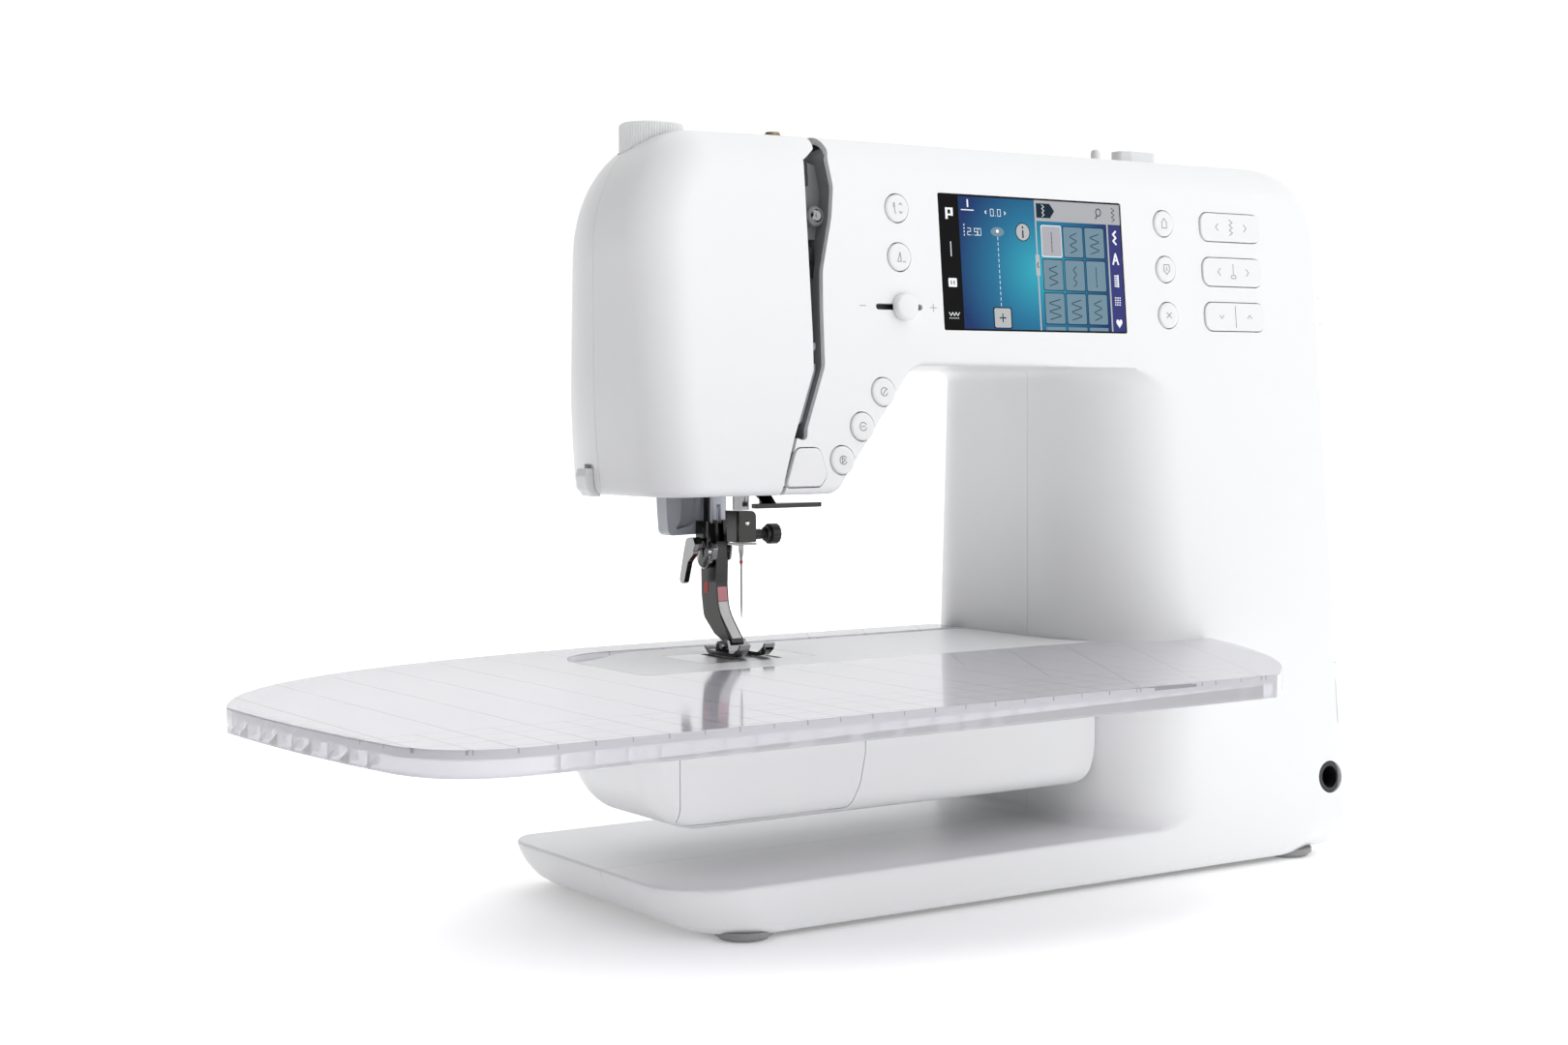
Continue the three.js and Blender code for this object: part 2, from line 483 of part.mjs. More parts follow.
function buildPanel() {
  const button = (shape, depth) => prismY(shape, -BUTTON_PROUD, depth, 5);
  for (const [name, [x, z]] of Object.entries(ROUND_BUTTONS)) {
    const mesh = addMesh(name, barY(BUTTON_RADIUS, -BUTTON_PROUD, 3.4, 0, 0, 20), 'white', panel);
    mesh.position.set(x, 0, upPanel(z));
  }
  for (const [name, z] of Object.entries(ROCKERS)) {
    addMesh(name, button(rockerShape(z, 0), 3.2), 'white', panel);
  }
  addMesh('reverse_button', button(faceShape(REVERSE_OUTLINE), 2), 'white', panel);

  const [x, z] = [SPEED_KNOB_X, upPanel(SPEED_SLOT.z)];
  const knob = join(solid(barY(5.2, -3.6, -0.4, x, z, 20)), solid(box(x - 1.6, x + 1.6, -0.6, 5, z - 0.8, z + 0.8)));
  addMesh('speed_knob', toGeometry(knob), 'white', panel);
  addMesh('touchscreen', box(SCREEN.left, SCREEN.right, 0.3, 9, upPanel(SCREEN.bottom), upPanel(SCREEN.top)),
    'glass', panel);

  const channelOutline = faceShape([[-39, 296], [-39, 224], [-39.6, 212], [-50, 187], [-46, 181.2], [-38.6, 181.2],
    [-38, 188], [-28.2, 212], [-27.8, 234], [-27, 249], [-21.6, 269.3], [-20.2, 281], [-21, 296]]);
  const channel = cut(solid(prismY(channelOutline, 3.2, 20)), solid(prismY(slotShape(), 0, 17)),
    solid(box(-35, -31, 15, 22, upPanel(225), upPanel(280))));
  addMesh('thread_channel', toGeometry(channel), 'grey', panel);
  const tension = join(solid(barY(4.5, 8, 16.5, -29, upPanel(281), 14)),
    solid(barY(2.2, 5, 9, -29, upPanel(281), 10)));
  addMesh('tension_unit', toGeometry(tension), 'steel', panel);
}

// ---------- top, back, right side and feet ----------

function buildTop() {
  const dial = turned([[0, -17], [12.4, -17], [12.4, 3.4], [11.4, 4.4], [0, 4.4]], 24);
  addMesh('pressure_dial', dial, 'white').position.set(TOP_FITTINGS.dial[0], TOP_FITTINGS.dial[1], BODY_TOP);
  const stud = turned([[0, -8], [2.6, -8], [2.6, 1], [1.5, 2], [1.5, 4], [2.6, 5.8], [0, 5.8]], 12);
  addMesh('top_thread_guide', stud, 'steel').position.set(TOP_FITTINGS.guide[0], TOP_FITTINGS.guide[1], BODY_TOP);
  const spindle = turned([[0, -20], [3.5, -20], [3.5, -1], [2.2, 0], [2.2, 10.5], [0, 10.5]], 12);
  addMesh('winder_spindle', spindle, 'white').position.set(TOP_FITTINGS.spindle[0], TOP_FITTINGS.spindle[1], BODY_TOP);
  const lever = join(solid(prismZ(rectangle(-12, 10, -5, 5, 4), 1, 9)), solid(barZ(2.5, -10, 2, 0, 0)));
  addMesh('winder_lever', toGeometry(lever), 'white').position.set(184.5, 65, BODY_TOP);
  const pin = join(solid(barX(2.2, 24, 136, 92, 288)), solid(box(17, 25, 86, 98, 276.3, 292)));
  addMesh('spool_pin', toGeometry(pin), 'lightGrey');
}

function buildBackAndSide() {
  const grip = outline([[-20, 289, 4], [150, 289, 4], [150, 232, 14], [-20, 232, 14]]);
  const hole = outline([[-12, 320], [142, 320], [142, 244, 6], [-12, 244, 6]]);
  const handle = cut(solid(prismY(grip, 122.5, 130.5)), solid(prismY(hole, 100, 140)));
  addMesh('carrying_handle', toGeometry(handle), 'lightGrey');

  const tube = cut(solid(barY(6.6, -26, 4, 226, 34.2, 20)), solid(barY(4.8, -30, 2, 226, 34.2, 20)));
  addMesh('knee_lifter_socket', toGeometry(tube.intersect(body(0))), 'black');
  const [left, right, near, far, low, high] = OPENINGS.inlet;
  const inlet = cut(solid(box(left - 12, right - 3.4, near + GAP, far - GAP, low + GAP, high - GAP)),
    solid(box(left - 8, right + 1, near + 3, far - 3, low + 3, high - 3)));
  addMesh('power_inlet', toGeometry(inlet), 'black');
  const rocker = solid(box(229, 237.4, 89, 107, 63, 81));
  addMesh('power_switch', toGeometry(rocker), 'black');
  const lamp = solid(box(70.4, 91.6, 6.4, 15.6, 213.2, 218));
  addMesh('lamp', toGeometry(lamp), 'clear');
  FOOT_PLACES.forEach(([x, y], i) => {
    const foot = turned([[0, 0], [9.5, 0], [11, 1.5], [11, BASE_BOTTOM - GAP], [0, BASE_BOTTOM - GAP]], 20);
    addMesh(`rubber_foot_${i + 1}`, foot, 'rubber').position.set(x, y, 0);
  });
}

buildHousings();
buildFreeArm();
buildTable();
buildFrame();
buildDrive();
buildNeedleGroup();
buildPresser();
buildPanel();
buildTop();
buildBackAndSide();

export default machine;
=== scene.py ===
"""Free-arm sewing machine with a clear extension table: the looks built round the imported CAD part.

Lengths are millimetres in the CAD frame and become metres when a mesh is made.
Shader nodes measure in metres.
"""
import math

import bmesh
import bpy
import numpy as np
import openvdb as vdb
from mathutils import Matrix, Vector


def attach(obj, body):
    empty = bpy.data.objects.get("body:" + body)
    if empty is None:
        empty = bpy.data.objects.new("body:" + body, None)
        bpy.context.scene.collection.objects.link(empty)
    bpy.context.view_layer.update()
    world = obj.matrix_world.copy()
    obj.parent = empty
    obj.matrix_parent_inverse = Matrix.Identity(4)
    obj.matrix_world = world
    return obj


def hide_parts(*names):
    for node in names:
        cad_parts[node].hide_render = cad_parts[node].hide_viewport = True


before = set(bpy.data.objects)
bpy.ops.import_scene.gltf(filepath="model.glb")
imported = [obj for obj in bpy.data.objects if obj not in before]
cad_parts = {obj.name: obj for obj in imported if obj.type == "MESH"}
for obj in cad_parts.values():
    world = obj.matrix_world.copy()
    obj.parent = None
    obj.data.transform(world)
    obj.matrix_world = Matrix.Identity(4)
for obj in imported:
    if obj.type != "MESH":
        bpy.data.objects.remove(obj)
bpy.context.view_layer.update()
MM = 0.001

# ---------- shapes of the casing ----------

FRONT_LEAN, BACK_LEAN = 0.0883, 0.047
COS_F, COS_B = math.cos(math.atan(FRONT_LEAN)), math.cos(math.atan(BACK_LEAN))
SIN_F = math.sin(math.atan(FRONT_LEAN))
WALL = 2.5
SEAM_Y = 43.0
COLUMN_X = 104.0
FACE_Y, BACK_Y, REF_Z = 5, 119, 281  # where the faces stand at the height REF_Z
BODY_LEFT, BODY_RIGHT, BODY_TOP = -107, 237, 301
NEEDLE_X, NEEDLE_Y, PRESSER_Y = -40.2, 45.0, 65.0
SHAFT_Y, SHAFT_Z = 43, 235
DIAL_AT, STUD_AT, SPINDLE_AT = (-80, 45), (-11.5, 65), (161, 65)
ARM = {"left": -107.0, "right": 109.0, "front": 5.0, "back": 87.0, "low": 39.0, "top": 98.6}


def front_y(z):
    return FACE_Y + FRONT_LEAN * (z - REF_Z)


def back_y(z):
    return BACK_Y - BACK_LEAN * (z - REF_Z)


def both(a, b, r):
    """Distance to what two shapes share, their meeting edge rounded to radius r."""
    return np.minimum(np.maximum(a, b), -r) + np.hypot(np.maximum(a + r, 0), np.maximum(b + r, 0))


def either(a, b, r):
    """Distance to two shapes joined with a fillet of radius r."""
    return -both(-a, -b, r)


def shoulder(a, b, high, wide):
    """Like both(), the corner an upright ellipse quarter, kept close to a true distance."""
    k = high / wide
    over, out = np.maximum(a + high, 0), np.maximum(b * k + high, 0)
    reach = np.hypot(over, out) + 1e-4
    slope = np.sqrt((over / reach) ** 2 + (k * out / reach) ** 2)
    return np.where(reach < 0.01, np.maximum(a + high, b + wide) - wide,
                    (reach - high) / np.maximum(slope, 1))


def ramp(v, lo, hi, at_lo, at_hi):
    t = np.clip((v - lo) / (hi - lo), 0, 1)
    return at_lo + (at_hi - at_lo) * t * t * (3 - 2 * t)


def body_distance(x, y, z):
    """Signed distance, in mm, to the outside of the head, arm, column and base."""
    d_front = (front_y(z) - y) * COS_F
    d_back = (y - back_y(z)) * COS_B
    left = np.where(z > 155, BODY_LEFT + 3 * (np.maximum(211 - z, 0) / 47) ** 2, -400)
    shell = both(shoulder(z - BODY_TOP, left - x, 46.0, 30.0), x - BODY_RIGHT, 32.0)
    shell = both(shell, d_front, ramp(x, -88, -30, 18.0, 13.0) - ramp(x, 205, 232, 0.0, 9.0))
    shell = both(shell, d_back, ramp(x, -90, 10, 82.0, 15.0) + ramp(x, 190, 234, 0.0, 5.0))

    cheek = (x + 28.2) * 0.781 - (z - 164) * 0.625
    upper = both(164 - z, either(213 - z, cheek, 4.0), 3.0)
    column = both(np.where(x < 148, both(COLUMN_X - x, d_front, 44.0), COLUMN_X - x), d_back, 35.0)
    inside = either(upper, column, ramp(x, 100, 150, 4.0, 12.0))

    base_left = -106 + 12 * (np.clip(21 - z, 0, 17) / 17) ** 1.6
    plan = both(both(base_left - x, d_front, 30.0), d_back, 25.0)
    inside = either(inside, both(z - 21, plan, 1.5), 6.0)

    edge = ramp(x, 60, 115, 2.5, 0.0) * ramp(z, 140, 155, 0.0, 1.0)
    solid = np.where(edge > 0, both(inside, shell, edge), np.maximum(inside, shell))
    return both(solid, 2.4 - z, ramp(x, 195, 223, 5.0, 15.0))


def arm_distance(x, y, z):
    """Signed distance to the outside of the free arm, which runs on to the right past the column."""
    end = both(ARM["left"] - x, ARM["low"] - z, 26.0)
    end = both(end, z - ARM["top"], 2.2)
    front = both(end, ARM["front"] - y, ramp(z, 46, 70, 7.0, 5.0) + ramp(x, -104, -92, 4.0, 0.0)
                 - ramp(z, 90, 97, 0.0, 2.8))
    return both(front, y - ARM["back"], ramp(z, 90, 97, 9.0, 2.2) + ramp(x, -104, -62, 23.0, 0.0))


def gradient(field, points):
    steps = []
    for axis in range(3):
        ahead, behind = points.copy(), points.copy()
        ahead[:, axis] += 0.04
        behind[:, axis] -= 0.04
        steps.append((field(*ahead.T) - field(*behind.T)) / 0.08)
    return np.stack(steps, 1)


def skin(field, low, high, step, offset=0.0, adapt=0.0):
    """Points and faces of the surface where the field equals -offset, pulled exactly onto it."""
    axes = [np.arange(a - 3 * step, b + 3 * step, step, dtype=np.float32) for a, b in zip(low, high)]
    grid = vdb.FloatGrid(background=5.0)
    values = field(axes[0][:, None, None], axes[1][None, :, None], axes[2][None, None, :]) + offset
    grid.copyFromArray(np.clip(values / step, -3, 3).astype(np.float32))
    points, triangles, quads = grid.convertToPolygons(0.0, adapt)
    points = points.astype(float) * step + np.array([a[0] for a in axes])
    for _ in range(3):
        slope = gradient(field, points)
        away = field(*points.T) + offset
        points -= slope * (np.clip(away, -step, step) / np.maximum((slope ** 2).sum(1), 0.25))[:, None]
    return points, [tuple(face) for face in triangles[:, ::-1].tolist() + quads[:, ::-1].tolist()]


# ---------- mesh helpers ----------

def new_object(name, points, faces):
    mesh = bpy.data.meshes.new(name)
    mesh.from_pydata((np.asarray(points, float) * MM).tolist(), [], faces)
    mesh.validate()
    mesh.update()
    made = bpy.data.objects.new(name, mesh)
    bpy.context.scene.collection.objects.link(made)
    return made


def hollow(name, field, low, high, step, adapt):
    """A closed wall of thickness WALL under the field's surface."""
    outer, outer_faces = skin(field, low, high, step, 0.0, adapt)
    inner, inner_faces = skin(field, low, high, step * 2, WALL, adapt)
    faces = outer_faces + [tuple(len(outer) + i for i in f[::-1]) for f in inner_faces]
    return new_object(name, np.concatenate([outer, inner]), faces)


def carve(target, tool, operation="DIFFERENCE"):
    """Cuts the tool out of the target, or does the named operation, and removes the tool."""
    change = target.modifiers.new("carve", "BOOLEAN")
    change.object, change.operation, change.solver = tool, operation, "MANIFOLD"
    bpy.context.view_layer.update()
    mesh = bpy.data.meshes.new_from_object(target.evaluated_get(bpy.context.evaluated_depsgraph_get()))
    target.modifiers.clear()
    old, target.data = target.data, mesh
    bpy.data.meshes.remove(old)
    bpy.data.objects.remove(tool)
    return target


def join(target, tool):
    return carve(target, tool, "UNION")


def copy_of(source, name):
    made = source.copy()
    made.data = source.data.copy()
    made.name = made.data.name = name
    bpy.context.scene.collection.objects.link(made)
    return made


def polyline(corners, steps=6):
    """Corner points [x, y] or [x, y, radius] as a closed line with true arcs."""
    line = []
    for i, corner in enumerate(corners):
        here = np.array(corner[:2], float)
        radius = corner[2] if len(corner) > 2 else 0
        if radius <= 0:
            line.append(here)
            continue
        back = np.array(corners[i - 1][:2], float) - here
        on = np.array(corners[(i + 1) % len(corners)][:2], float) - here
        back, on = back / np.linalg.norm(back), on / np.linalg.norm(on)
        half = math.acos(np.clip(back @ on, -1, 1)) / 2
        centre = here + (back + on) / np.linalg.norm(back + on) * radius / math.sin(half)
        a, b = here + back * radius / math.tan(half), here + on * radius / math.tan(half)
        turn = math.pi - 2 * half
        for k in range(steps + 1):
            t = k / steps
            swing = math.sin((1 - t) * turn) * (a - centre) + math.sin(t * turn) * (b - centre)
            line.append(centre + swing / math.sin(turn))
    return line


def box_line(x0, x1, y0, y1, r=0.0, steps=6):
    return polyline([(x0, y0, r), (x1, y0, r), (x1, y1, r), (x0, y1, r)], steps)


def ring_line(x, y, sides, radius):
    """A closed line round a centre, with a radius for each corner."""
    turns = [2 * math.pi * i / sides for i in range(sides)]
    return [(x + radius(i) * math.cos(turn), y + radius(i) * math.sin(turn)) for i, turn in enumerate(turns)]


def circle(x, y, r, sides=48):
    return ring_line(x, y, sides, lambda i: r)


PLACES = {
    "x": lambda a, b, d: (d, a, b),
    "y": lambda a, b, d: (a, d, b),
    "z": lambda a, b, d: (a, b, d),
    "panel": lambda a, b, d: (a, FACE_Y + d * COS_F + (b - REF_Z) / COS_F * SIN_F, b - d * SIN_F),
}


def prism(name, line, start, end, along):
    """A closed prism. Along "panel" the line is [x, z] on the front face and the depths run behind it."""
    place = PLACES[along]
    n = len(line)
    points = [place(a, b, start) for a, b in line] + [place(a, b, end) for a, b in line]
    sides = [(i, (i + 1) % n, n + (i + 1) % n, n + i) for i in range(n)]
    made = new_object(name, points, [tuple(range(n))[::-1], tuple(range(n, 2 * n)), *sides])
    tidy(made)
    return made


def shape(name, corners, start, end, along, steps=6):
    """A prism whose line is given by corners with radii."""
    return prism(name, polyline(corners, steps), start, end, along)


def tidy(made):
    """Turns the faces outwards."""
    work = bmesh.new()
    work.from_mesh(made.data)
    bmesh.ops.recalc_face_normals(work, faces=work.faces)
    work.to_mesh(made.data)
    work.free()
    return made


def block(name, x0, x1, y0, y1, z0, z1):
    return prism(name, box_line(x0, x1, y0, y1), z0, z1, "z")


def smooth(made, angle=35):
    mesh = made.data
    mesh.shade_smooth()
    mesh.set_sharp_from_angle(angle=math.radians(angle))
    return made


def bevel(made, width, segments=3, angle=35):
    change = made.modifiers.new("bevel", "BEVEL")
    change.width, change.segments, change.limit_method = width * MM, segments, "ANGLE"
    change.angle_limit = math.radians(angle)
    return smooth(made, angle)


def follow_field(made, field):
    """Normals of the curved outer skin come from the field, and cut edges stay crisp."""
    smooth(made, 28)
    mesh = made.data
    points = np.empty(len(mesh.vertices) * 3)
    mesh.vertices.foreach_get("co", points)
    points = points.reshape(-1, 3) / MM
    on_skin = np.abs(field(*points.T)) < 0.03
    corner_vertex = np.empty(len(mesh.loops), int)
    mesh.loops.foreach_get("vertex_index", corner_vertex)
    totals = np.empty(len(mesh.polygons), int)
    mesh.polygons.foreach_get("loop_total", totals)
    face_of = np.repeat(np.arange(len(totals)), totals)
    centres = np.empty(len(totals) * 3)
    mesh.polygons.foreach_get("center", centres)
    centres = centres.reshape(-1, 3) / MM
    flat = np.empty(len(totals) * 3)
    mesh.polygons.foreach_get("normal", flat)
    flat = flat.reshape(-1, 3)
    whole = np.bincount(face_of, on_skin[corner_vertex], len(totals)) == totals
    use = whole[face_of]
    corner = points[corner_vertex]
    inward = centres[face_of] - corner
    reach = np.linalg.norm(inward, axis=1, keepdims=True)
    probe = corner + inward / np.maximum(reach, 1e-9) * np.minimum(reach * 0.5, 0.12)
    normals = np.zeros((len(corner_vertex), 3))
    slope = gradient(field, probe[use])
    slope /= np.maximum(np.linalg.norm(slope, axis=1, keepdims=True), 1e-9)
    agree = (slope * flat[face_of][use]).sum(1) > 0.8
    normals[use] = np.where(agree[:, None], slope, 0)
    mesh.normals_split_custom_set(normals.tolist())
    return made


# ---------- materials ----------

def noise(tree, where, scale, detail=2.0):
    node = tree.nodes.new("ShaderNodeTexNoise")
    node.inputs["Scale"].default_value = scale
    node.inputs["Detail"].default_value = detail
    tree.links.new(where, node.inputs["Vector"])
    return node.outputs["Fac"]


def spread(tree, value, start, end, at_start, at_end, kind="LINEAR"):
    """A value that runs from at_start to at_end while its source runs from start to end."""
    node = tree.nodes.new("ShaderNodeMapRange")
    node.interpolation_type = kind
    for key, number in (("From Min", start), ("From Max", end), ("To Min", at_start), ("To Max", at_end)):
        node.inputs[key].default_value = number
    tree.links.new(value, node.inputs["Value"])
    return node.outputs["Result"]


def relief(tree, height, strength, distance):
    """Fine relief on the surface, in metres."""
    bump = tree.nodes.new("ShaderNodeBump")
    bump.inputs["Strength"].default_value = strength
    bump.inputs["Distance"].default_value = distance
    tree.links.new(height, bump.inputs["Height"])
    tree.links.new(bump.outputs["Normal"], tree.nodes["Principled BSDF"].inputs["Normal"])


def colour_mix(tree, factor, first, second):
    """The base colour runs from the first to the second with the factor."""
    node = tree.nodes.new("ShaderNodeMix")
    node.data_type = "RGBA"
    node.inputs["A"].default_value = (*first, 1)
    node.inputs["B"].default_value = (*second, 1)
    tree.links.new(factor, node.inputs["Factor"])
    tree.links.new(node.outputs["Result"], tree.nodes["Principled BSDF"].inputs["Base Color"])


def shader(name, colour, rough, metal=0.0, grain=0.0, grain_size=1.0, tone=0.0, **sockets):
    """A Principled material whose roughness, tone and surface vary a little with a fine noise."""
    made = bpy.data.materials.new(name)
    made.use_nodes = True
    tree = made.node_tree
    surface = tree.nodes["Principled BSDF"]
    surface.inputs["Metallic"].default_value = metal
    for key, value in sockets.items():
        surface.inputs[key.replace("_", " ")].default_value = value
    place = tree.nodes.new("ShaderNodeTexCoord").outputs["Object"]
    fine = noise(tree, place, 1000 / grain_size, 3)
    wide = noise(tree, place, 14)
    tree.links.new(spread(tree, wide, 0, 1, max(rough - 0.04, 0.02), rough + 0.04),
                   surface.inputs["Roughness"])
    colour_mix(tree, wide, [part * (1 - tone) for part in colour], colour)
    if grain:
        relief(tree, fine, grain, 0.00006)
    return made


def brushed(name, colour, rough, axis=0, strength=0.25):
    """Metal with fine parallel scratches along one axis."""
    made = shader(name, colour, rough, 1.0)
    tree = made.node_tree
    place = tree.nodes.new("ShaderNodeTexCoord").outputs["Object"]
    stretch = tree.nodes.new("ShaderNodeMapping")
    stretch.inputs["Scale"].default_value = [120 if i == axis else 4200 for i in range(3)]
    tree.links.new(place, stretch.inputs["Vector"])
    relief(tree, noise(tree, stretch.outputs["Vector"], 1), strength, 0.00004)
    return made


WHITE = shader("white_plastic", (0.85, 0.852, 0.857), 0.34, grain=0.12, grain_size=0.9, tone=0.012)
CAP_WHITE = shader("cap_white_plastic", (0.83, 0.83, 0.836), 0.30, grain=0.08, grain_size=0.7, tone=0.01)
GREY = shader("grey_plastic", (0.24, 0.245, 0.25), 0.5, grain=0.35, grain_size=0.8, tone=0.06)
LIGHT_GREY = shader("light_grey_plastic", (0.50, 0.52, 0.56), 0.42, grain=0.25, grain_size=0.8, tone=0.03)
BLACK = shader("black_plastic", (0.013, 0.013, 0.015), 0.38, grain=0.3, grain_size=0.6, tone=0.1)
RUBBER = shader("rubber", (0.33, 0.33, 0.335), 0.8, grain=0.7, grain_size=0.5, tone=0.15)
CHROME = shader("chrome", (0.30, 0.30, 0.305), 0.12, 1.0, grain=0.02, grain_size=2.0, tone=0.05)
BRIGHT = shader("bright_chrome", (0.78, 0.785, 0.79), 0.08, 1.0, tone=0.03)
DARK_STEEL = brushed("dark_steel", (0.055, 0.054, 0.053), 0.2, axis=2, strength=0.12)
STEEL = brushed("brushed_steel", (0.55, 0.55, 0.555), 0.3, axis=0, strength=0.3)
CAST = shader("cast_aluminium", (0.36, 0.365, 0.37), 0.55, 0.9, grain=0.8, grain_size=1.5, tone=0.15)
PAINT = shader("motor_paint", (0.02, 0.02, 0.022), 0.4, grain=0.3, grain_size=1.2, tone=0.1)
LENS = shader("lamp_lens", (0.22, 0.23, 0.25), 0.25, grain=0.3, grain_size=2.0, tone=0.1)


def wear(made, material):
    made.data.materials.clear()
    made.data.materials.append(material)
    return made


# ---------- casing ----------

SLOT_LEFT = [(-36.2, 309), (-36.2, 224), (-36.6, 211), (-46.9, 185.6), (-54.1, 164.5), (-60, 150)]
SLOT_RIGHT = [(-41.3, 184, 2), (-40.7, 189, 3), (-31.3, 212.4, 8), (-30.8, 234, 20), (-30, 249, 25),
              (-24.7, 269.3, 14),
              (-23.2, 281, 12), (-25.2, 291.7, 9), (-30.6, 297.4, 5), (-30.6, 309)]
ROUND_BUTTONS = {
    "needle_stop_button": (6.3, 274.1), "securing_button": (6.3, 255.1), "pattern_end_button": (-4.7, 202.7),
    "pattern_start_button": (-15.5, 189.4), "start_stop_button": (-25.6, 176.7),
    "home_button": (145.6, 273.7),
    "help_button": (145.6, 254.4), "clear_button": (145.6, 235.0),
}
ROCKERS = {"width_rocker": 273.4, "position_rocker": 254.2, "length_rocker": 235.0}
REVERSE = [(-52.2, 167, 1.2), (-46.4, 181.5, 3), (-36, 181.5, 3), (-33, 171, 3), (-36.6, 167, 2)]
SCREEN = (27.0, 122.0, 227.3, 281.0)


def grown(corners, by):
    """The closed outline moved outwards by the same distance everywhere."""
    line = np.array(corners, float)
    area = sum(line[i - 1][0] * line[i][1] - line[i][0] * line[i - 1][1] for i in range(len(line)))
    side = np.roll(line, -1, 0) - line
    length = np.linalg.norm(side, axis=1, keepdims=True)
    side = side / np.maximum(length, 1e-9)
    out = np.stack([side[:, 1], -side[:, 0]], 1) * math.copysign(1, area)
    mean = out + np.roll(out, 1, 0)
    mean /= np.maximum((mean ** 2).sum(1, keepdims=True) / 2, 0.3)
    return (line + mean * by).tolist()


def rocker_line(z, grow=0.0):
    return box_line(166.6 - grow, 201.7 + grow, z - 6 - grow, z + 6 + grow, 4.2 + grow, 8)


def slot_line():
    """The thread slot: the cover curls over its top end."""
    curl = [(-29.0, 309), (-28.6, 300.5, 2), (-30.0, 295.6, 3), (-36.2, 290.6)]
    return polyline(curl + SLOT_LEFT[1:4] + SLOT_RIGHT[:-2] + [(-23.6, 295, 5), (-24.6, 309)], 8)


def build_casing():
    shell = hollow("shell", body_distance, (BODY_LEFT, -18, 2), (BODY_RIGHT, 122, BODY_TOP), 1.25, 0.0)
    trough = block("trough", 15, 140, 80, 104, 276, 312)
    trough_wall = block("trough_wall", 12.5, 142.5, 77.5, 106.5, 273.5, 299.2)
    carve(trough_wall, copy_of(trough, "trough_copy"))
    carve(shell, trough)
    join(shell, trough_wall)

    openings = [
        prism("floor_opening", box_line(-82, 221, -12, 124, 12), 0, 8, "z"),
        block("mechanism", -72, -14, 22, 106, 150, 168),
        block("arm_root", 100, 110, 14, 80, 46, 90),
        block("inlet", 228, 240, 88, 112, 36, 54),
        block("switch", 228, 240, 88, 108, 62, 82),
        prism("lamp", box_line(83, 97, 2.4, 11, 2), 208, 217, "z"),
        block("threader", -112, -98, 47.6, 56.4, 150, 175.6),
        prism("winder_gap", box_line(172, 198, 60, 70, 3), 290, 310, "z"),
        prism("shaft_hole", circle(SHAFT_Y, SHAFT_Z, 8), 228, 242, "x"),
        prism("knee", circle(226, 34.2, 7), -30, 0, "y"),
    ]
    for (x, y), r in ((DIAL_AT, 12.8), (STUD_AT, 3), (SPINDLE_AT, 4)):
        openings.append(prism("fitting", circle(x, y, r), 270, 310, "z"))
    for tool in openings:
        carve(shell, tool)
    port_seams = ((232.4, 240, -20, -11.6, 83.6, 84.0), (236.4, 240, -20, 34, 83.6, 84.0),
                  (233.2, 240, -20, -14.0, 57.0, 57.4), (236.4, 240, -20, 34, 57.0, 57.4),
                  (236.4, 240, 33.6, 34, 57.4, 83.6), (232.4, 232.8, -20, -13.0, 57.4, 83.6))
    for extent in port_seams:
        carve(shell, block("groove", *extent))

    rear = copy_of(shell, "rear_casing")
    carve(rear, block("keep_rear", -400, 400, SEAM_Y + 0.12, 400, -10, 400), "INTERSECT")
    front = shell
    carve(front, block("keep_front", -400, 400, -400, SEAM_Y - 0.12, -10, 400), "INTERSECT")

    cover = copy_of(front, "head_casing")
    left_of_slot = SLOT_LEFT + [(-160, 150), (-160, 330), (-36.2, 330)]
    carve(cover, prism("cover_zone", left_of_slot, -12, 60, "panel"), "INTERSECT")
    gap = [(-36.2, 291)] + SLOT_LEFT[1:] + [(-58.4, 150), (-52.5, 164.5), (-45.6, 185.6), (-36.1, 211),
                                            (-35.7, 224), (-35.7, 291)]
    carve(front, prism("cover_zone", left_of_slot, -12, 60, "panel"))
    carve(front, prism("cover_gap", gap, -12, 60, "panel"))
    carve(front, prism("slot", slot_line(), -12, 60, "panel"))
    panel_holes = [box_line(SCREEN[0] - 0.3, SCREEN[1] + 0.3, SCREEN[2] - 0.3, SCREEN[3] + 0.3, 0.8),
                   box_line(-6, 16.4, 234.5, 236.9, 1.19), grown(polyline(REVERSE), 0.45)]
    panel_holes += [circle(x, z, 5.85) for x, z in ROUND_BUTTONS.values()]
    panel_holes += [rocker_line(z, 0.4) for z in ROCKERS.values()]
    for line in panel_holes:
        carve(front, prism("panel_hole", line, -6, 7, "panel"))
    front.name = "front_casing"
    for made, node in ((front, "front_housing"), (rear, "rear_housing"), (cover, "head_cover")):
        follow_field(made, body_distance)
        wear(made, WHITE)
        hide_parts(node)
        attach(made, "housing")


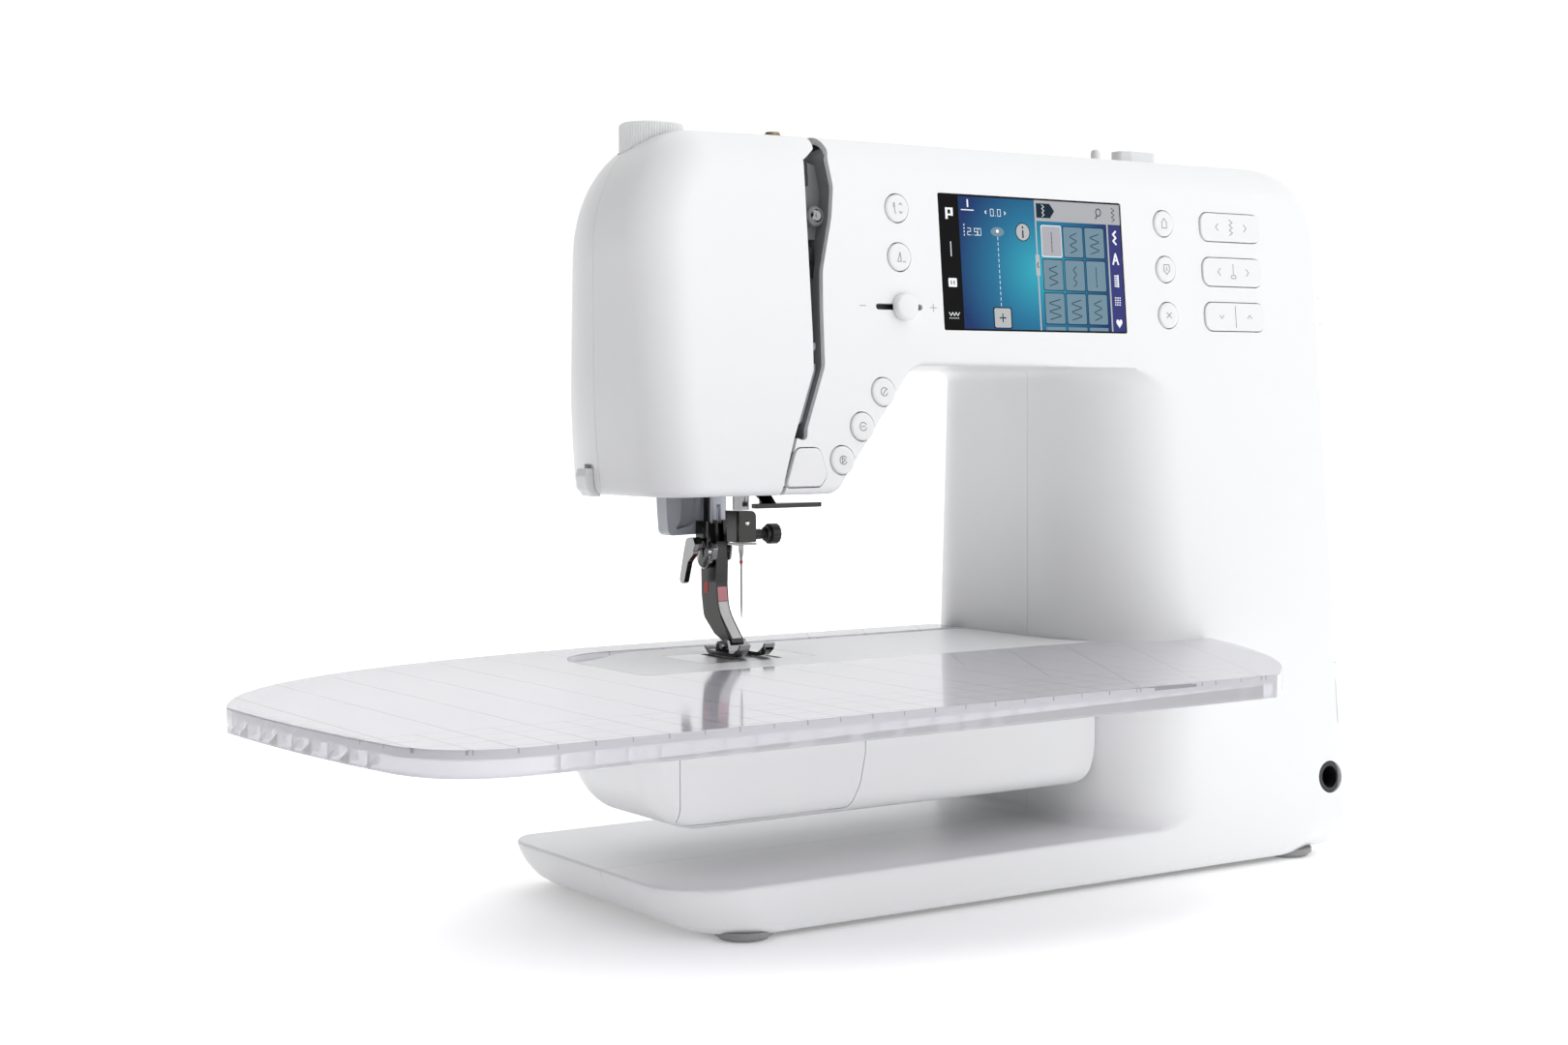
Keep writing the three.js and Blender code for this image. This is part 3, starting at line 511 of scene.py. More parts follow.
def build_free_arm():
    arm = hollow("arm_casing", arm_distance, (-107, 5, 39), (118, 87, 98.6), 1.0, 0.0)
    carve(arm, block("arm_end", ARM["right"], 140, -20, 120, 0, 140))
    quarter = np.linspace(0, math.pi / 2, 25)
    curve = [(ARM["right"] - 11 + 11 * math.cos(t), 58 - 19.2 * math.sin(t)) for t in quarter]
    carve(arm, prism("end_curve", curve + [(ARM["right"] - 11, 30), (125, 30), (125, 58)], -10, 100, "y"))
    middle = front_y(70) + 44
    corner = [(148 - 44.2 * math.cos(t), middle - 44.2 * math.sin(t)) for t in np.linspace(0, math.pi / 2,
                                                                                           33)]
    carve(arm, prism("column_side", [(103.8, 120)] + corner + [(148, 120)], 20, 120, "z"))
    carve(arm, prism("plate_hole", box_line(-67.3, -15.7, 27.7, 62.3, 1.5), 90, 100, "z"))
    door_line = [(-93, 94, 2), (-93, 41, 3), (-16, 41, 3), (-11, 50, 12), (-8.4, 62, 12), (-8.0, 94, 2)]
    door = copy_of(arm, "door")
    carve(door, prism("door_zone", grown(polyline(door_line), -0.35), 0, 8.6, "y"), "INTERSECT")
    carve(arm, shape("door_hole", door_line, 0, 9, "y"))
    carve(door, prism("notch", circle(-88.5, 94.5, 4.2, 32), 0, 6.2, "y"))
    for made, node, body in ((arm, "free_arm_cover", "housing"), (door, "bobbin_door", "door")):
        follow_field(made, arm_distance)
        wear(made, WHITE)
        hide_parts(node)
        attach(made, body)


build_casing()
build_free_arm()


# ---------- pieces ----------

def dress(made, material, slot_name, body, *nodes, width=0.3, segments=3, angle=35):
    """Bevels a piece, gives it its finish, and hangs it on its body in place of its CAD nodes."""
    if width:
        bevel(made, width, segments, angle)
    else:
        smooth(made, angle)
    wear(made, material)
    if nodes:
        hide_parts(*nodes)
    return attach(made, body)


def quad(start, control, end, steps=14):
    a, b, c = (np.array(p, float) for p in (start, control, end))
    return [tuple((1 - t) ** 2 * a + 2 * t * (1 - t) * b + t * t * c) for t in np.arange(1,
                                                                                         steps + 1) / steps]


def lathe(name, profile, sides, place):
    """A closed turned piece: [radius, height] pairs that start and end on the axis."""
    points, faces, rings = [], [], []
    for r, h in profile:
        if r < 1e-6:
            rings.append([len(points)] * sides)
            points.append(place(0.0, 0.0, h))
        else:
            rings.append(list(range(len(points), len(points) + sides)))
            points += [place(a, b, h) for a, b in circle(0, 0, r, sides)]
    for low, high in zip(rings, rings[1:]):
        for i in range(sides):
            j = (i + 1) % sides
            faces.append(tuple(dict.fromkeys([low[i], low[j], high[j], high[i]])))
    made = new_object(name, points, [f for f in faces if len(f) > 2])
    return tidy(made)


def at(x, y, z, axis="z"):
    """Places a turned piece whose own axis points along the named one."""
    if axis == "z":
        return lambda a, b, h: (x + a, y + b, z + h)
    if axis == "x":
        return lambda a, b, h: (x + h, y + a, z + b)
    return lambda a, b, h: (x + a, y + h, z + b)


def on_panel(x, z):
    return lambda a, b, h: PLACES["panel"](x + a, z + b * COS_F, h)


def merged(name, *pieces):
    """One mesh of separate closed bodies."""
    points, faces = [], []
    for piece in pieces:
        start = len(points)
        points += [tuple(v.co / MM) for v in piece.data.vertices]
        faces += [tuple(start + i for i in p.vertices) for p in piece.data.polygons]
        bpy.data.objects.remove(piece)
    return new_object(name, points, faces)


def plates(name, parts, body):
    """Thin closed plates on the front panel. Each part is (line, front depth, back depth, material)."""
    points, faces, skins, owner = [], [], [], []
    for line, front, back, material in parts:
        if material not in skins:
            skins.append(material)
        n, start = len(line), len(points)
        points += [PLACES["panel"](a, b, front) for a, b in line] + [PLACES["panel"](a, b, back) for a,
                                                                     b in line]
        new = [tuple(start + i for i in range(n)), tuple(start + n + i for i in range(n))[::-1]]
        new += [(start + i, start + n + i, start + n + (i + 1) % n, start + (i + 1) % n) for i in range(n)]
        faces += new
        owner += [skins.index(material)] * len(new)
    made = new_object(name, points, faces)
    tidy(made)
    for material in skins:
        made.data.materials.append(material)
    made.data.polygons.foreach_set("material_index", owner)
    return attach(made, body)


def stroke(points, width):
    """A polyline drawn as one strip per segment, each a closed four-cornered line."""
    strips = []
    for (x0, z0), (x1, z1) in zip(points, points[1:]):
        run = np.array([x1 - x0, z1 - z0], float)
        length = np.linalg.norm(run)
        if length < 1e-6:
            continue
        side = np.array([-run[1], run[0]]) / length * width / 2
        end = run / length * width * 0.3
        a, b = np.array([x0, z0]) - end, np.array([x1, z1]) + end
        strips.append([tuple(a - side), tuple(b - side), tuple(b + side), tuple(a + side)])
    return strips


INK = shader("grey_ink", (0.30, 0.30, 0.31), 0.6, tone=0.05)
PALE_INK = shader("pale_ink", (0.42, 0.42, 0.43), 0.6, tone=0.05)
RED = shader("red_mark", (0.55, 0.02, 0.015), 0.4, tone=0.1)
PINK = shader("pink_label", (0.75, 0.30, 0.33), 0.5, tone=0.03)
LABEL = shader("white_label", (0.80, 0.80, 0.80), 0.5, tone=0.03)
BRASS = shader("dark_brass", (0.28, 0.22, 0.15), 0.22, 1.0, tone=0.15)
BLOCK = brushed("grey_block", (0.46, 0.47, 0.52), 0.38, axis=2, strength=0.15)


def acrylic():
    """Clear plastic with thin printed measuring lines across and along."""
    made = shader("clear_acrylic", (0.80, 0.79, 0.84), 0.09, tone=0.004)
    nodes, links = made.node_tree.nodes, made.node_tree.links
    surface = nodes["Principled BSDF"]
    surface.inputs["IOR"].default_value = 1.49
    place = nodes.new("ShaderNodeTexCoord")
    split = nodes.new("ShaderNodeSeparateXYZ")
    links.new(place.outputs["Object"], split.inputs["Vector"])

    def math_node(kind, a, b=None, c=None):
        node = nodes.new("ShaderNodeMath")
        node.operation = kind
        for i, value in enumerate((a, b, c)):
            if value is None:
                continue
            if isinstance(value, (int, float)):
                node.inputs[i].default_value = value
            else:
                links.new(value, node.inputs[i])
        return node.outputs["Value"]

    def lines(coordinate, pitch, width):
        return math_node("LESS_THAN", math_node("PINGPONG", coordinate, pitch / 2), width / 2)

    x, y = split.outputs["X"], split.outputs["Y"]
    across = lines(x, 0.0254, 0.0005)
    near_front = math_node("LESS_THAN", y, -0.088)
    along = math_node("MULTIPLY", lines(y, 0.0127, 0.0004), near_front)
    fine = math_node("MULTIPLY", lines(x, 0.0127, 0.00035), near_front)
    lean = math_node("SUBTRACT", math_node("MULTIPLY", x, 0.866), math_node("MULTIPLY", y, 0.5))
    slanted = math_node("MULTIPLY", lines(lean, 0.0254, 0.00045), math_node("GREATER_THAN", x, 0.01))
    on_top = math_node("GREATER_THAN", split.outputs["Z"], 0.0975)
    mask = across
    for drawn in (along, fine, slanted):
        mask = math_node("MAXIMUM", mask, drawn)
    mask = math_node("MULTIPLY", mask, on_top)
    clearness = math_node("SUBTRACT", 0.50, math_node("MULTIPLY", mask, 0.30))
    links.new(clearness, surface.inputs["Transmission Weight"])
    colour_mix(made.node_tree, mask, (0.80, 0.79, 0.84), (0.30, 0.30, 0.33))
    return made


def table_line(inset):
    line = [(157 - inset, -13)]
    line += quad((157 - inset, -13), (131 - inset, -91 + inset), (82, -126 + inset))
    line.append((-222, -132 + inset))
    line += quad((-222, -132 + inset), (-252 + inset, -132 + inset), (-257 + inset, -104))
    line += quad((-257 + inset, -104), (-266 + inset, -50), (-266 + inset, 5))
    line += quad((-266 + inset, 5), (-236 + inset, 100 - inset), (-60, 108 - inset), 24)
    line += polyline([(103, 108 - inset, 0), (103, 87.8, 0), (-107.8, 87.8, 31), (-107.8, 4.2, 4),
                      (112, 4.2, 0)], 14)
    return line + quad((112, 4.2), (122, -12), (140, -13))


def build_table():
    table = prism("table", table_line(0), 90.5, 99, "z")
    carve(table, prism("below", table_line(4), 89.5, 95.8, "z"))
    carve(table, block("open_front", -150, 200, -14, 4.3, 80, 95.8))
    ribs = []
    for i in range(26):
        x = -214 + i * 11.6
        y = -132 + 6 * (x + 222) / 304
        ribs.append(block("rib", x - 0.5, x + 0.5, y + 3.6, y + 7, 91.2, 96.4))
    for i in range(9):
        y = -90 + i * 11.6
        x = -266 + 9 * ((5 - y) / 109) ** 2
        ribs.append(block("rib", x + 3.2, x + 7.5, y - 0.5, y + 0.5, 91.2, 96.4))
    join(table, merged("ribs", *ribs))
    dress(table, acrylic(), "clear_acrylic", "table", "extension_table", width=0.9, segments=3)


def build_plate():
    plate = prism("stitch_plate_top", box_line(-67, -16, 28, 62, 1.2), 96.6, 98.6, "z")
    for line in (polyline([(-44.7, 44, 0.9), (-35.7, 44, 0.9), (-35.7, 46, 0.9), (-44.7, 46, 0.9)]),
                 box_line(-50.7, -46.7, 31, 60, 0.8), box_line(-33.7, -29.7, 31, 60, 0.8)):
        carve(plate, prism("plate_hole", line, 90, 100, "z"))
    dress(plate, STEEL, "brushed_steel", "housing", "stitch_plate", width=0.25)

    feed = block("feed_teeth", -50.2, -30.2, 50, 57, 91, 95.5)
    for x in (-48.7, -31.7):
        teeth = [(35, 92), (57, 92)]
        for i in range(14):
            teeth += [(57 - i * 1.57, 97.3), (56.2 - i * 1.57, 98.25)]
        teeth += [(35, 97.3)]
        join(feed, prism("bar", teeth, x - 1.5, x + 1.5, "x"))
    dress(feed, STEEL, "brushed_steel", "feed", "feed_dog", width=0.0)


def build_needle():
    x, y = NEEDLE_X, NEEDLE_Y
    clamp = shape("clamp_body", [(-44.8, 143.9, 0.4), (-36.2, 143.9, 0.6), (-36.2, 156.3, 2.4),
                                 (-44.8, 156.3, 0.3)],
                  40, 49.5, "y")
    carve(clamp, block("clamp_back", -50, -30, 48.4, 52, 140, 149.5))
    carve(clamp, block("clamp_step", -50, -44.2, 39, 41.2, 140, 158))
    dress(clamp, DARK_STEEL, "chrome", "needle_carrier", "needle_clamp", width=0.35)
    lip = prism("clamp_lip", box_line(-46.4, -36.6, 38.6, 45.8, 0.8), 142.9, 143.7, "z")
    dress(lip, CHROME, "chrome", "needle_carrier", width=0.2)
    pin = lathe("clamp_pin", [(0, -0.3), (0.5, -0.35), (0.95, -0.1), (0.95, 1.5), (0, 1.5)], 20,
                at(-40.4, 40, 151.5, "y"))
    dress(pin, BRIGHT, "chrome", "needle_carrier", width=0)

    knob_line = ring_line(y, 146.7, 72, lambda i: 4.0 + 0.1 * math.cos(14 * (2 * math.pi * i / 72)))
    knob = prism("screw_knob", knob_line, -27.4, -23.6, "x")
    join(knob, lathe("screw_stem", [(0, -7.2), (2.1, -7.2), (2.1, -2.6), (1.9, -2.4), (1.9, -0.6),
                                    (2.9, -0.4), (3.0, 1.8), (0, 1.8)],
                      32, at(-28.7, y, 146.7, "x")))
    dress(knob, BLACK, "black_plastic", "clamp_screw", "needle_screw", width=0.7, segments=4, angle=50)

    needle = lathe("needle_blade", [(0, 0), (0.12, 0.4), (0.28, 3), (0.42, 7), (0.42, 21.5), (0.55, 22.5),
                                    (0.62, 25), (1.0, 27.5),
                                    (1.0, 30.6), (0, 30.6)], 24, at(x, y, 112.8))
    dress(needle, CHROME, "chrome", "needle_carrier", "needle", width=0)
    band = lathe("needle_mark", [(0, 22.6), (0.66, 22.6), (0.68, 23.6), (0, 23.6)], 20, at(x, y, 112.8))
    dress(band, RED, "chrome", "needle_carrier", width=0)

    lever = polyline([(54, 258, 1), (60, 258, 3), (60, 266, 3), (52, 266, 3), (12, 253, 1), (12, 248, 1)], 5)
    blade = prism("take_up_arm", lever, -34, -32, "x")
    carve(blade, prism("eye", circle(17, 251.8, 1.3, 24), -40, -30, "x"))
    join(blade, lathe("pivot", [(0, 0), (2.5, 0), (2.5, 5), (0, 5)], 32, at(-34, 56, 262, "x")))
    dress(blade, CHROME, "chrome", "take_up", "take_up_lever", width=0.3)


def build_presser():
    x, y = NEEDLE_X, PRESSER_Y
    body = prism("presser_block", box_line(-44.5, -36.4, 61.3, 69.4, 1.0), 150.6, 166, "z")
    carve(body, prism("groove", [(-41.6, 60), (-39.4, 60), (-40, 62.2), (-41, 62.2)], 150, 158, "z"))
    dress(body, BLOCK, "brushed_steel", "presser", width=0.35)
    # A thin dark plate on the presser block's left face: painted shade, the dark edge line seen on that side
    # of the block.
    edge = block("presser_painted_shade_edge", -45.0, -44.6, 61.2, 65.5, 151, 166)
    dress(edge, DARK_STEEL, "chrome", "presser", width=0.2)

    blade_line = polyline([(60, 152, 0.5), (59.0, 141, 4), (59.6, 126, 14), (58.6, 116, 14),
                           (47.5, 104.4, 3), (47.8, 103.2, 0.6),
                           (52, 102.9, 1), (61, 106.5, 4), (69, 113, 5), (70.6, 122, 4), (71, 141, 2),
                           (70, 152, 0.5)], 10)
    shank = prism("shank", blade_line, -43, -37.4, "x")
    join(shank, shape("socket", [(-45.8, 61.5, 0.8), (-36.2, 61.5, 2.6), (-36.2, 71, 1), (-45.8, 71, 1)],
                      139.2, 151.5, "z", 8))
    join(shank, lathe("collar", [(0, 0), (5.2, 0), (5.4, 1.4), (5.4, 5.4), (4.6, 6.6), (0, 6.6)], 40,
                      at(x - 0.4, 64.6, 136.2)))
    carve(shank, prism("socket_cut", box_line(-41.8, -39.2, 58, 63.2), 143.5, 153, "z"))
    dress(shank, DARK_STEEL, "brushed_steel", "presser", "foot_shank", width=0.45, segments=4)

    yoke = shape("yoke", [(58.2, 136.2, 1.5), (57.0, 141.5, 2), (59.6, 143.4, 1), (62, 141, 2),
                          (66, 139.6, 2), (70.4, 140.4, 1), (70.8, 137, 1.5), (64, 134.4, 3)],
                 -45.2, -36.4, "x", 8)
    carve(yoke, block("yoke_gap", -43.1, -37.3, 50, 80, 130, 150))
    dress(yoke, CHROME, "chrome", "presser", width=0.35)
    cross_pin = lathe("cross_pin", [(0, 0), (1.3, 0), (1.5, 0.3), (1.5, 10.2), (1.3, 10.5), (0, 10.5)], 28,
                      at(-46.6, 60.6, 139.6, "x"))
    dress(cross_pin, BRIGHT, "chrome", "presser", width=0)
    heights = {"pink_label_strip": (125.2, 119.6, PINK), "white_label_strip": (119.3, 105.4, LABEL)}
    ahead = [(py, pz) for py, pz in blade_line if py < min(61, pz - 52) and 104 < pz < 141]
    front = sorted({(round(py, 3), round(pz, 3)) for py, pz in ahead}, key=lambda p: p[1])
    zs, ys = [p[1] for p in front], [p[0] for p in front]
    for name, (top, low, material) in heights.items():
        levels = np.linspace(top, low, 28)
        outer = [(float(np.interp(z, zs, ys)) - 0.10, z) for z in levels]
        inner = [(py + 0.4, pz) for py, pz in outer[::-1]]
        strip = prism(name, outer + inner, -42.3, -38.0, "x")
        dress(strip, material, "white_plastic", "presser", width=0.0)
    mark = prism("red_mark_plate", box_line(65.4, 68.6, 122.4, 127.0, 0.3), -43.12, -42.8, "x")
    dress(mark, RED, "white_plastic", "presser", width=0.0)

    sole_line = polyline([(33.0, 104.1, 0.3), (34.0, 101.9, 3), (38, 98.9, 5), (57, 98.9, 1.5),
                          (60.6, 101.6, 0.4), (60.2, 102.2, 0.4),
                          (56.5, 100.6, 2), (38.6, 100.4, 5), (35.2, 102.6, 3), (34.0, 104.5, 0.3)], 8)
    sole = prism("sole", sole_line, -48.2, -32.2, "x")
    carve(sole, shape("toe_gap", [(-43.6, 30), (-36.8, 30), (-36.8, 46, 1.2), (-43.6, 46, 1.2)], 96, 106,
                      "z", 6))
    carve(sole, block("heel_gap", -42, -38.4, 54, 62, 97, 104))
    join(sole, shape("hinge", [(47, 99.6), (58, 99.6), (56.5, 103.6, 1), (49, 105.2, 1.2)], -44.6, -35.8,
                     "x", 5))
    join(sole, lathe("hinge_pin", [(0, 0), (1.1, 0), (1.1, 12.4), (0, 12.4)], 24,
                     at(-46.4, 50.6, 102.4, "x")))
    dress(sole, CHROME, "brushed_steel", "presser", "foot_sole", width=0.25)

    lever = prism("lever_knob", circle(y, 142.4, 3.1, 6), -51.3, -47.4, "x")
    join(lever, lathe("lever_pin", [(0, 0), (2.2, 0), (2.2, 3.4), (0, 3.4)], 24, at(-47.4, y, 142.4, "x")))
    arm_line = polyline([(64, 145.2, 1.5), (69.4, 144.6, 2), (71.4, 139, 3), (74.9, 127, 1.8),
                         (71.6, 125.6, 1.8), (68.2, 135, 3), (63.6, 138.6, 2)], 6)
    join(lever, prism("lever_arm", arm_line, -50.9, -48.5, "x"))
    dress(lever, CHROME, "chrome", "foot_clamp", "foot_clamp_lever", width=0.4)
    ring = lathe("shank_ring", [(0, 0), (4.6, 0), (5, 0.5), (5, 1.8), (4.6, 2.3), (0, 2.3)], 40,
                 at(-45.9, 64.8, 137.4, "x"))
    dress(ring, CHROME, "chrome", "presser", width=0)

    paddle = shape("lifter_paddle", [(-58.6, 167, 1), (-39.0, 167, 1), (-40.2, 153, 6), (-42, 146, 1.5),
                                     (-57.4, 145.6, 2.5), (-58.2, 156, 6)],
                   72.2, 80, "y", 8)
    carve(paddle, shape("recess", [(-50.4, 166, 0.6), (-43.0, 166, 0.6), (-44.0, 152, 3), (-47.4, 149.4, 2),
                                   (-54.6, 147.8, 0.6), (-51.6, 151.2, 2)],
                        71, 75.4, "y", 6))
    dress(paddle, LIGHT_GREY, "light_grey_plastic", "lifter", "foot_lifter", width=0.5)

    guide = shape("guide_arm", [(-43, 29.4, 1.5), (-34, 28.6, 2), (-14, 29.2, 1), (-11.2, 30.4, 0.5),
                                (-14, 32.8, 0.5), (-26, 38, 2), (-33, 38, 2), (-43, 33.4, 1.5)],
                  157.6, 159.4, "z", 6)
    join(guide, shape("guide_riser", [(33.6, 158.3), (33.6, 161, 1), (38, 163, 1), (38, 172.8),
                                      (36.6, 172.8), (36.6, 164, 1), (31, 159.2, 1), (31, 158.3)],
                       -39, -32.5, "x", 5))
    dress(guide, DARK_STEEL, "brushed_steel", "housing", "thread_guide_arm", width=0.25)

    tab = shape("threader_tab", [(-107.4, 173.9, 0.8), (-108.2, 171, 2), (-107.2, 166, 3),
                                 (-105.2, 163.3, 1), (-102, 163.2), (-100, 166), (-100, 173.9)],
                48.2, 55.8, "y", 6)
    join(tab, block("tab_stem", -102.6, -100.2, 50.2, 53.8, 172, 206))
    dress(tab, WHITE, "light_grey_plastic", "threader", "threader_lever", width=0.5)


def build_controls():
    for node, (x, z) in ROUND_BUTTONS.items():
        profile = [(0, 3.4), (5.4, 3.4), (5.4, -0.25), (5.15, -0.62), (4.7, -0.78), (3.5, -0.76), (0, -0.70)]
        cap = lathe(node.replace("button", "key"), profile, 64, on_panel(x, z))
        dress(cap, CAP_WHITE, "white_plastic", node + "_cap", node, width=0, angle=60)
    for node, z in ROCKERS.items():
        cap = prism(node.replace("rocker", "key"), rocker_line(z), -0.8, 3.2, "panel")
        dress(cap, CAP_WHITE, "white_plastic", node + "_cap", node, width=0.45, segments=4)
    reverse = shape("reverse_key", REVERSE, -0.8, 2, "panel", 8)
    dress(reverse, CAP_WHITE, "white_plastic", "reverse", "reverse_button", width=0.45, segments=4)
    knob = lathe("speed_slider", [(0, 5), (1, 5), (1, -0.45), (5.2, -0.45), (5.2, -2.9), (4.7, -3.5),
                                  (3.9, -3.7), (0, -3.5)], 64, on_panel(7, 235.7))
    dress(knob, CAP_WHITE, "white_plastic", "speed_control", "speed_knob", width=0, angle=60)
    well = plates("slider_well", [(box_line(-6.6, 17, 233.8, 237.6, 1.5), 2.6, 3.4, BLACK)], "housing")

    def icon(name, x, z, strokes, body, width=0.42, lift=-0.74, material=INK):
        parts = []
        for points in strokes:
            for strip in stroke([(x + a, z + b) for a, b in points], width):
                parts.append((strip, lift - 0.05, lift + 0.08, material))
        plates(name, parts, body)

    ring = [(1.6 * math.cos(t), 1.6 * math.sin(t)) for t in np.linspace(0.5, 5.9, 14)]
    drawings = {
        "needle_stop": [[(-1.4, 2.2), (-1.4, -1), (-1.0, -2.2)], [(-1.9, 1.9), (-1.9, 0.4)],
                        [(0.8, 1.3), (1.5, 2), (2.2, 1.3)], [(0.8, -1.3), (1.5, -2), (2.2, -1.3)]],
        "securing": [[(-1.2, -1.8), (0.1, 1.8), (0.5, -1.8), (-1.2, -1.8)], [(1.4, -1.9), (2.6, -1.9)]],
        "pattern_end": [ring, [(-0.6, -0.8), (0.8, 0.9)]],
        "pattern_start": [ring, [(-0.8, 0), (0.8, 0)]],
        "start_stop": [ring, [(-0.5, 1), (0.9, 0), (-0.5, -1), (-0.5, 1)]],
        "home": [[(-1.5, 0.4), (0, 2.2), (1.5, 0.4)], [(-1.3, 0.4), (-1.3, -1.9), (1.3, -1.9), (1.3, 0.4)]],
        "help": [[(-1.5, 1.9), (1.5, 1.9), (1.6, -0.6), (0, -2.2), (-1.6, -0.6), (-1.5, 1.9)],
                 [(0, 0.9), (0, -0.6)]],
        "clear": [[(-1.3, 1.1), (1.3, -1.1)], [(-1.3, -1.1), (1.3, 1.1)]],
    }
    for key, strokes in drawings.items():
        x, z = ROUND_BUTTONS[key + "_button"]
        icon(key + "_icon", x, z, strokes, key + "_button_cap", 0.34)
    chevrons = [[(-7.6, 1.5), (-9, 0), (-7.6, -1.5)], [(7.6, 1.5), (9, 0), (7.6, -1.5)]]
    zigzag = [[(-0.9, 3.4), (0.9, 2.2), (-0.9, 1.1), (0.9, 0), (-0.9, -1.1), (0.9, -2.2), (-0.9, -3.4)]]
    needle = [[(0, 3.4), (0, -0.6)], [(-1.5, -2), (-0.9, -1.3), (0.9, -1.3), (1.5, -2), (0.9, -2.7),
                                      (-0.9, -2.7), (-1.5, -2)]]
    down_up = [[(-9.4, 0.6), (-8.2, -0.8), (-7, 0.6)], [(7, -0.6), (8.2, 0.8), (9.4, -0.6)],
               [(0, 4.6), (0, -4.6)]]
    for key, strokes in (("width", chevrons + zigzag), ("position", chevrons + needle), ("length", down_up)):
        icon(key + "_icon", 184.15, ROCKERS[key + "_rocker"], strokes, key + "_rocker_cap", 0.34, -0.8)
    icon("slider_marks", 0, 235.7, [[(-13.6, 0.2), (-10.8, 0.2)], [(20.2, 0), (23.2, 0)],
                                    [(21.7, 1.5), (21.7, -1.5)]], "housing", 0.34, 0.0, PALE_INK)


def glow_paint(name, colour, light=0.6):
    made = shader(name, tuple(0.4 * part for part in colour), 0.18, tone=0.02)
    surface = made.node_tree.nodes["Principled BSDF"]
    surface.inputs["Specular IOR Level"].default_value = 0.08
    surface.inputs["Emission Color"].default_value = (*colour, 1)
    surface.inputs["Emission Strength"].default_value = light
    return made


def display_blend():
    """The lit backdrop of the picture: a teal glow in the middle that sinks to deep blue at the rim."""
    made = glow_paint("display_blend", (0.03, 0.2, 0.36), 0.7)
    nodes, links = made.node_tree.nodes, made.node_tree.links
    surface = nodes["Principled BSDF"]
    reach = nodes.new("ShaderNodeVectorMath")
    reach.operation = "DISTANCE"
    reach.inputs[1].default_value = (0.076, 0.003, 0.252)
    links.new(nodes.new("ShaderNodeTexCoord").outputs["Object"], reach.inputs[0])
    colours = nodes.new("ShaderNodeValToRGB")
    stops = colours.color_ramp.elements
    stops[0].position, stops[0].color = 0.0, (0.035, 0.36, 0.47, 1)
    stops[1].position, stops[1].color = 1.0, (0.012, 0.035, 0.13, 1)
    middle = stops.new(0.5)
    middle.color = (0.02, 0.16, 0.29, 1)
    links.new(spread(made.node_tree, reach.outputs["Value"], 0, 0.042, 0, 1), colours.inputs["Fac"])
    dim = nodes.new("ShaderNodeMix")
    dim.data_type, dim.blend_type = "RGBA", "MULTIPLY"
    dim.inputs["Factor"].default_value = 1
    dim.inputs["B"].default_value = (0.4, 0.4, 0.4, 1)
    links.new(colours.outputs["Color"], dim.inputs["A"])
    links.new(dim.outputs["Result"], surface.inputs["Base Color"])
    links.new(colours.outputs["Color"], surface.inputs["Emission Color"])
    return made


